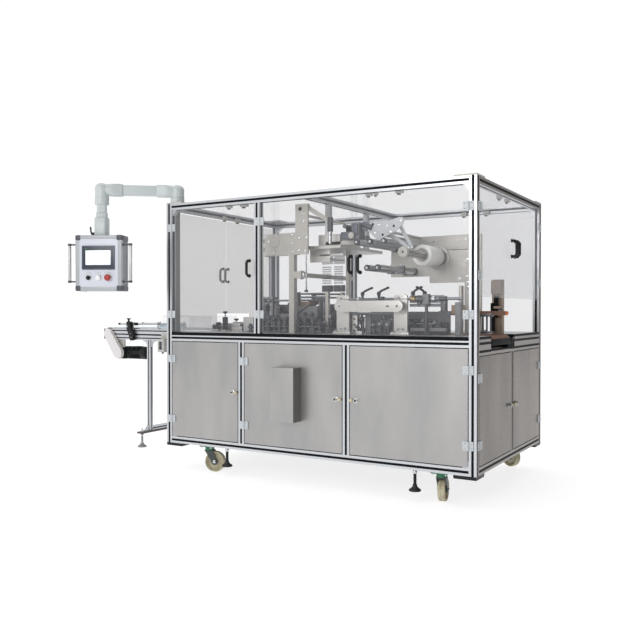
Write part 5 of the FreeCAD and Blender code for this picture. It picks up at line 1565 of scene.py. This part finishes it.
# Dark discs in the beam's end bores and a dark bar for its slot are painted shade.
for x, z in ((1163, 841), (1516, 841)):
    unit.lathe((x, unit_low.y, z), OUTWARD, [(9, 0), (9, 0.4)], 1, 20)
    unit.lathe((x, unit_low.y - 0.2, z), OUTWARD, [(5, 0), (5, 0.3)], 2, 6)
unit.block((1452, unit_low.y - 0.4, 838), (1470, unit_low.y + 1, 844), 0.2, 2)
for left, right in ((1113, 1193), (1470, 1550)):
    outline = [(left, PLATE_LOW + 8), (right, PLATE_LOW + 8), (right, 889), (right - 5, 900),
               (right - 16, 905), (left + 16, 905), (left + 5, 900), (left, 889)]
    unit.plate(outline, "xz", 180, 15, 0, 1)
    unit.block((left - 14, 160, PLATE_LOW), (right + 16, 249, PLATE_LOW + 12), 2, 0)
    for x in (left - 4, right + 6):
        unit.lathe((x, 172, PLATE_LOW + 12), "z", [(8, 0), (8, 5), (6, 7)], 1, 12)
    for x, z in ((left + 28, 886), (left + 52, 716), (left + 26, 716)):
        unit.lathe((x, 180, z), OUTWARD, [(8, 0), (8, 3), (6, 5)], 1, 16)
        # A dark disc paints the shade in each screw socket.
        unit.lathe((x, 175.2, z), OUTWARD, [(3.4, 0), (3.4, 0.3)], 2, 6)
    unit.block((left + 10, 195, 700), (right - 10, 215, 800), 2, 4)
unit.rod((1153, 187.5, 880), (1860, 187.5, 880), 8, 9)
unit.rod((1193, 205, 800), (1470, 205, 800), 8, 9)
for x, wide, radius, finish in ((1570, 26, 15, 5), (1612, 34, 19, 4), (1690, 20, 16, 1), (1730, 44, 13, 4),
                                (1240, 22, 14, 1), (1380, 30, 15, 4)):
    unit.lathe((x, 187.5, 880), "x", [(radius - 2, 0), (radius, 2), (radius, wide - 2), (radius - 2, wide)],
               finish, 24)
unit.block((1822, 175, PLATE_LOW), (1852, 200, 860), 3, 7)
unit.block((1790, 205, 800), (1856, 240, 846), 3, 10)
unit.block((1640, 172, 850), (1676, 204, 905), 3, 7)
unit.block((1652, 178, PLATE_LOW), (1664, 198, 852), 2, 8)
for x, reach in ((1275, 62), (1376, 60), (1580, 52), (1648, -40)):
    unit.lathe((x, 187.5, 888), "z", [(7, 0), (7, 12), (11, 14), (11, 28), (8, 33)], 6, 18)
    unit.tube([(x, 187.5, 914), (x + reach * 0.3, 183, 926), (x + reach, 178, 942)], 6.5, 6, 10)
    unit.lathe((x + reach, 178, 936), "z", [(6, 0), (8, 3), (8, 9), (5, 12)], 6, 14)
for x, z, radius in ((1226, 726, 13), (1262, 770, 10), (1330, 736, 15), (1372, 742, 22), (1418, 740, 26),
                     (1398, 782, 12), (1446, 770, 14)):
    unit.lathe((x, 214, z), OUTWARD, [(radius, 0), (radius, 8), (radius - 4, 9), (radius - 4, 12),
                                      (radius * 0.4, 14)], 8, 24)
    unit.lathe((x, 200.5, z), OUTWARD, [(radius * 0.35, 0), (radius * 0.35, 3), (2, 4)], 9, 14)
    unit.block((x - 6, 214, PLATE_LOW), (x + 6, 226, z), 1.5, 8)
unit.block((1198, 205, PLATE_LOW), (1232, 219, 806), 2, 0)
unit.block((1268, 232, PLATE_LOW), (1304, 250, 806), 2, 7)
unit.block((1268, 122, PLATE_LOW), (1304, 150, PLATE_LOW + 18), 2, 0)
for z in (706, 738, 770):
    unit.lathe((1215, 205, z), OUTWARD, [(6, 0), (6, 3), (4, 4)], 4, 14)
    unit.block((1232, 222, z), (1240, 236, z + 14), 1, 9)
unit.block((1204, 428, PLATE_LOW), (1700, 436, 812), 1, 7)
unit.block((1300, 240, 700), (1480, 260, 722), 2, 7)
unit.block((1556, 205, 706), (1760, 230, 724), 2, 7)
for z, radius in ((892, 7), (868, 9), (846, 8)):
    unit.rod((1556, 205, z), (1750, 205, z), radius, 9)
unit.block((1736, 190, 812), (1764, 225, 880), 3, 4)
unit.block((1600, 196, 838), (1622, 216, 898), 2, 4)
unit.done("side_belts", [STAINLESS, CHROME, BLACK_AND_SHADE, PALE_STEEL, DARK_STEEL, BRASS, BLACK, CASTING, MECHANISM,
                         ROD_GREY, BROWN_BLOCK], "root", ["side_belt_unit"])
print(f"Beam {BEAM_RIGHT - BEAM_LEFT} mm long")

# %% [markdown]
# The lifting tower keeps its CAD shapes and gets its hardware: bolts, the round cover on the gear
# box, a thin guide rod, the mesh guards behind and the swing link to the carrier. The mesh is a thin
# sheet that lets some light through, over rows of slats, which reads right at this size.

# %% Lifting tower
def tower_kind(centre, normal, mesh, face):
    """0 beige plates, 1 stainless carrier and hangers, 2 round rods."""
    if centre.x > 925:
        return 1 if 1100 < centre.z < 1199 else 2
    return 0


coat("lift_tower", BEIGE, STAINLESS, PALE_STEEL, pick=tower_kind)
TOWER_FRONT = 180
tower = Maker()
tower.lathe((687, TOWER_FRONT, 1228), OUTWARD, [(38, 0), (38, 3), (36, 4.5), (30, 5)], 0, 40)
for x, z in ((705, 1263), (812, 1263), (812, 1215), (682, 1166), (648, 1230), (630, 1262), (812, 1165)):
    tower.lathe((x, TOWER_FRONT, z), OUTWARD, [(9, 0), (9, 1.5), (6.5, 2), (6.5, 6), (5, 7)], 1, 16)
for x, z in ((888, 1385), (888, 1338), (858, 1243), (906, 1243), (858, 1170), (900, 1165)):
    tower.lathe((x, TOWER_FRONT, z), OUTWARD, [(9, 0), (9, 1.5), (6.5, 2), (6.5, 6), (5, 7)], 1, 16)
# A dark disc on the top plate paints the shade in a bore.
tower.lathe((868, TOWER_FRONT, 1412), OUTWARD, [(12, 0), (12, 0.4)], 2, 24)
tower.block((612, TOWER_FRONT + 4, 1160), (622, TOWER_FRONT + 50, 1268), 2, 2)
tower.block((600, TOWER_FRONT + 10, 1175), (616, TOWER_FRONT + 44, 1200), 3, 3)
tower.block((600, TOWER_FRONT + 10, 1225), (616, TOWER_FRONT + 44, 1250), 3, 3)
tower.plate([(836, 1438), (918, 1438), (918, 1426), (1040, 1352), (1068, 1352), (1068, 1330), (1034, 1330),
             (912, 1404), (836, 1404)], "xz", 196, 12, 0, 1)
tower.block((1046, 190, 1270), (1070, 216, 1354), 2, 3)
tower.rod((1058, 203, 1200), (1058, 203, 1272), 9, 1)
tower.rod((898, 200, 934), (898, 200, 1190), 5, 1)
tower.lathe((898, 200, 926), "z", [(10, 0), (12, 2), (12, 10), (6, 14)], 3, 16)
tower.block((884, 190, 1178), (912, 216, 1196), 2, 3)
tower.lathe((860, 214, 1028), OUTWARD, [(26, 0), (26, 5), (22, 8), (22, 14), (16, 17)], 4, 28)
for low, high in (((944, 262, 1199), (1094, 270, 1262)), ((944, 500, 1199), (1094, 508, 1262)),
                  ((862, 300, 1105), (1001, 308, 1180)), ((1086, 262, 1199), (1094, 508, 1262))):
    tower.block(low, high, 1.5, 5)
tower.block((930, 300, 1140), (1090, 330, 1152), 2, 5)
tower.block((850, 330, 1120), (1000, 480, 1128), 2, 5)
for y in (300, 480):
    tower.rod((763, y, 919), (1001, y, 919), 6, 7)
    tower.rod((763, y, 898), (1001, y, 898), 6, 7)
    for x in (780, 985):
        tower.block((x - 10, y - 12, DECK_TOP), (x + 10, y + 12, 930), 2, 3 if x < 900 else 0)
for x in (828, 912):
    tower.block((x, 500, 1105), (x + 78, 503, 1180), 0.5, 6)
    for row in range(8):
        tower.block((x + 14, 480, 984 + row * 14), (x + 66, 503, 993 + row * 14), 1, 6)
    tower.block((x + 8, 484, 935), (x + 72, 520, 975), 3, 3)
tower.block((1000, 495, 883), (1020, 520, 1180), 2, 0)
tower.rod((574, 315, DECK_TOP), (574, 315, 1163), 17, 7)
tower.block((562, 240, 1148), (586, 330, 1160), 2, 5)
tower.done("tower_fittings", [BEIGE, CHROME, BLACK_AND_SHADE, DARK_STEEL, PALE_STEEL, STAINLESS, MESH, ROD_GREY],
           "root")
print("Tower fittings reach", 1440, "mm")

# %% [markdown]
# The folding station is the densest part. Behind the glass it reads as a dark block of arms, rods,
# springs and brown guide blocks. A seeded random layout gives that density: each piece is a post on
# the deck with a head on it, and long rods tie the posts together, so nothing floats.

# %% Folding station
STATION = random.Random(7)


def posts_and_heads(maker, low, high, step, tall, seed):
    """Posts on a grid, each with a head along x or y, and rods along the rows."""
    row = 0
    y = low[1]
    while y < high[1]:
        x = low[0] + (row % 2) * step / 2
        heights = []
        while x < high[0]:
            height = tall * seed.uniform(0.35, 1.0)
            half = seed.uniform(4, 9)
            finish = seed.choice((0, 1, 1, 0, 3, 1, 2))
            maker.block((x - half, y - half, low[2]), (x + half, y + half, low[2] + height), 1.5,
                        seed.choice((0, 0, 1)))
            reach, radius = seed.uniform(14, 30), seed.uniform(6, 13)
            axis = seed.choice(("x", "y"))
            maker.block((x - half - 5, y - half - 4, low[2] + height * 0.55),
                        (x + half + 6, y + half + 5, low[2] + height * 0.8), 2, 1)
            maker.block((x - step * 0.42, y - step * 0.3, low[2]),
                        (x + step * 0.42, y + step * 0.3, low[2] + height * seed.uniform(0.12, 0.3)), 3,
                        seed.choice((0, 1, 1)))
            back = reach / 2
            start = (x - back, y, low[2] + height) if axis == "x" else (x, y - back, low[2] + height)
            outline = [(radius - 2, 0), (radius, 2), (radius, reach * 0.6), (radius * 0.6, reach * 0.62),
                       (radius * 0.6, reach)]
            maker.lathe(start, axis, outline, finish, 14)
            heights.append((x, low[2] + height * 0.8))
            x += step * seed.uniform(0.8, 1.2)
        maker.rod((heights[0][0], y, heights[0][1]), (heights[-1][0], y, heights[0][1]), 4, 2)
        y += step
        row += 1


coat("folding_station", MECHANISM, DARK_STEEL, pick=lambda centre, *_: 1 if centre.z > 730 else 0)
coat("heater_blocks", BROWN_BLOCK)
station_low, station_high = on_drawing("folding_station")
station = Maker()
posts_and_heads(station, (station_low.x + 24, station_low.y + 60, station_low.z + 16),
                (station_high.x - 20, station_high.y - 20), 44, 118, STATION)
posts_and_heads(station, (station_low.x - 20, station_low.y - 130, DECK_TOP),
                (station_high.x + 100, station_low.y - 10), 46, 120, STATION)
posts_and_heads(station, (station_high.x + 30, station_low.y, DECK_TOP),
                (station_high.x + 160, station_high.y), 48, 150, STATION)
posts_and_heads(station, (1316, 262, DECK_TOP), (1700, 420, 0), 44, 84, STATION)
for x, wide, y, z in ((721, 60, 400, 812), (800, 68, 396, 822), (640, 52, 410, 806), (560, 46, 420, 790)):
    station.block((x, y - 16, z + 34), (x + wide, y + 60, z + 58), 3, 4)
    for step in range(4):
        station.block((x + 4 + step * wide / 4, y - 18, z + 30), (x + 10 + step * wide / 4, y - 10, z + 62),
                      1, 1)
for x in (530, 590, 930, 960):
    station.rod((x, 300, DECK_TOP), (x, 300, 905), 7, 2)
    station.block((x - 14, 288, 868), (x + 14, 312, 892), 3, 1)
station.rod((520, 300, 880), (975, 300, 880), 6, 2)
station.block((500, 280, 760), (640, 330, 790), 3, 1)
station.block((525, 262, 815), (570, 330, 850), 4, 1)
station.block((505, 352, DECK_TOP), (560, 420, 905), 6, 5)
station.lathe((600, 330, DECK_TOP), "z", [(24, 0), (24, 150), (18, 156), (18, 196), (12, 200)], 5, 24)
station.block((640, 300, 752), (716, 336, 800), 3, 5)
station.block((726, 300, 824), (860, 372, 872), 3, 4)
station.block((800, 262, 770), (936, 330, 846), 6, 5)
station.rod((690, 270, 740), (900, 262, 862), 7, 1)
station.rod((560, 262, 700), (760, 250, 790), 8, 1)
station.done("folding_arms", [DARK_STEEL, MECHANISM, ROD_GREY, ROLLER_GREY, BROWN_BLOCK, CASTING], "root")
print("Folding station between", round(station_low.x), "and", round(station_high.x), "mm")

# %% [markdown]
# Where the packs arrive, small black clamps with star knobs hold the guides, and a stop block closes
# the lane. Star knobs are lathe shapes with a short column.

# %% Infeed guides
def star_knob(maker, x, y, z, rise, finish=1):
    """A black knob on a threaded stem, seen from the side as a flared cap."""
    maker.rod((x, y, z), (x, y, z + rise), 5, 2)
    maker.lathe((x, y, z + rise - 2), "z", [(6, 0), (13, 4), (16, 9), (15, 13), (8, 15)], finish, 16)


lane = Maker()
for (low, high, points), kind in zip(sorted(islands("infeed_guides"), key=lambda part: part[0].x),
                                     ("clamp", "slide", "stop")):
    if kind == "clamp":
        middle = (low.x + high.x) / 2
        lane.block((low.x, low.y + 6, low.z), (high.x, high.y - 6, low.z + 14), 2, 0)
        lane.block((low.x, low.y + 20, low.z + 14), (low.x + 26, high.y - 14, high.z - 18), 4, 1)
        lane.block((high.x - 30, low.y + 16, low.z + 14), (high.x - 8, high.y - 20, high.z - 8), 4, 1)
        lane.rod((low.x + 2, low.y + 34, high.z - 26), (high.x, low.y + 34, high.z - 26), 7, 2)
        star_knob(lane, middle + 12, low.y + 34, high.z - 30, 16)
    elif kind == "slide":
        lane.block((low.x, low.y + 10, low.z), (high.x, high.y, low.z + 34), 2, 0)
        lane.block((low.x + 6, low.y, low.z + 34), (high.x - 6, high.y - 14, low.z + 52), 3, 3)
        star_knob(lane, low.x + 26, low.y + 26, low.z + 50, 20)
        for x in (low.x + 12, high.x - 12):
            screw(lane, x, low.y + 10, low.z + 18, 2, 4, 4)
    else:
        lane.block(low, high, 3, 3)
        lane.block((low.x + 6, low.y - 0.5, high.z - 30), (high.x - 6, low.y + 2, high.z - 8), 1, 0)
lane.block((186, 300, DECK_TOP), (222, 352, DECK_TOP + 10), 2, 0)
lane.block((192, 312, DECK_TOP + 10), (216, 340, DECK_TOP + 92), 3, 1)
star_knob(lane, 204, 326, DECK_TOP + 86, 30)
lane.block((125, 366, DECK_TOP), (372, 374, DECK_TOP + 52), 1.5, 0)
lane.block((225, 378, DECK_TOP), (470, 388, DECK_TOP + 60), 1.5, 0)
lane.done("lane_guides", [STAINLESS, BLACK, CHROME, PALE_STEEL, BLACK_AND_SHADE], "root",
          ["infeed_guides"])
print("Lane guides stand on the deck at", round(DECK_TOP), "mm")

# %% [markdown]
# The outlet has two orange belts. The lower one wraps a roller that shows in the notch of the frame,
# painted darker as shade, and the upper one presses on the packs from behind. Its flanks are brown.

# %% Outlet belts
def belt_kind(centre, normal, mesh, face):
    """0 the lower belt, 1 the face of the upper belt, 2 its flanks."""
    if centre.z < 750:
        return 0
    return 2 if abs(normal.y) > 0.7 else 1


coat("outfeed_belts", NOTCH_SHADE_BELT, ORANGE_BELT, BELT_FLANK, pick=belt_kind)
# The outfeed frame is all black: painted shade of the opening that the packs leave by.
coat("outfeed_frame", BLACK_AND_SHADE)
out_low, out_high = on_drawing("outfeed_frame")
outlet = Maker()
NOTCH_NEAR, NOTCH_FAR = out_low.y, out_high.y
for x, z in ((out_high.x - 26, 663), (out_high.x - 80, 650), (out_high.x - 200, 650),
             (out_high.x - 320, 650)):
    outlet.lathe((x, out_low.y, z), OUTWARD, [(7, 0), (7, 2), (5, 3)], 0, 12)
top_high = on_drawing("outfeed_belts")[1]
for x in (top_high.x - 60, 1600, 1700, 1800):
    outlet.lathe((x, 566, 803), "z", [(9, 12), (9, 17), (6, 18)], 0, 14)
    outlet.block((x - 8, 558, 815), (x + 8, 598, 822), 1.5, 1)
for x in (1890, 1912, 1934):
    outlet.rod((x, 420, 700), (x, 420, 790), 5, 1)
# A black block paints the shade at the end of the notch.
outlet.block((out_high.x - 6, NOTCH_NEAR, 634), (out_high.x + 4, NOTCH_FAR, 668), 2, 2)
outlet.block((1880, 400, 784), (1945, 440, 800), 3, 1)
outlet.block((1880, 405, 695), (1945, 435, 706), 3, 1)
outlet.done("outlet_fittings", [ROD_GREY, DARK_STEEL, BLACK_AND_SHADE], "root")
print("Outlet belts end at", round(top_high.x), "mm")

# %% [markdown]
# Safety switches sit inside the top rails, a beige body with a small tongue, and die-cast brackets
# brace the corners where bars meet. They are few blocks each, but the eye misses them when they are
# left out.

# %% Switches and brackets
RAIL_LOW = TALL - BAR
switches = Maker()
for x, y, wide, deep in ((432, BAR + 1, 34, 22), (536, BAR + 1, 48, 22), (1367, BAR + 1, 34, 22),
                         (1415, BAR + 1, 20, 22), (1543, BAR + 1, 40, 22),
                         (BAR + 1, 500, 22, 34), (BAR + 1, 640, 22, 44), (1500, DEEP - BAR - 23, 36, 22),
                         (1650, DEEP - BAR - 23, 36, 22),
                         (LONG - BAR - 23, 500, 22, 40), (LONG - BAR - 23, 640, 22, 40)):
    switches.block((x, y, RAIL_LOW - 10), (x + wide, y + deep, RAIL_LOW + 16), 1.2, 0)
    switches.block((x + wide * 0.2, y + deep * 0.2, RAIL_LOW - 18),
                   (x + wide * 0.6, y + deep * 0.8, RAIL_LOW - 9), 1, 1)
for x, side in ((BAR, 1), (LONG - BAR, -1)):
    for y in (6, DEEP - 34):
        for z, rise in ((BAR, 1), (RAIL_LOW, -1), (DECK_LOW, -1)):
            outline = [(x, z), (x + side * 34, z), (x + side * 34, z + rise * 4),
                       (x + side * 4, z + rise * 34), (x, z + rise * 34)]
            switches.plate(outline, "xz", y, 28, 2, 1)
switches.done("switches_and_brackets", [SWITCH_BEIGE, DARK_STEEL, ALUMINIUM], "root")
print("Top rails start at", round(RAIL_LOW), "mm")

# %% [markdown]
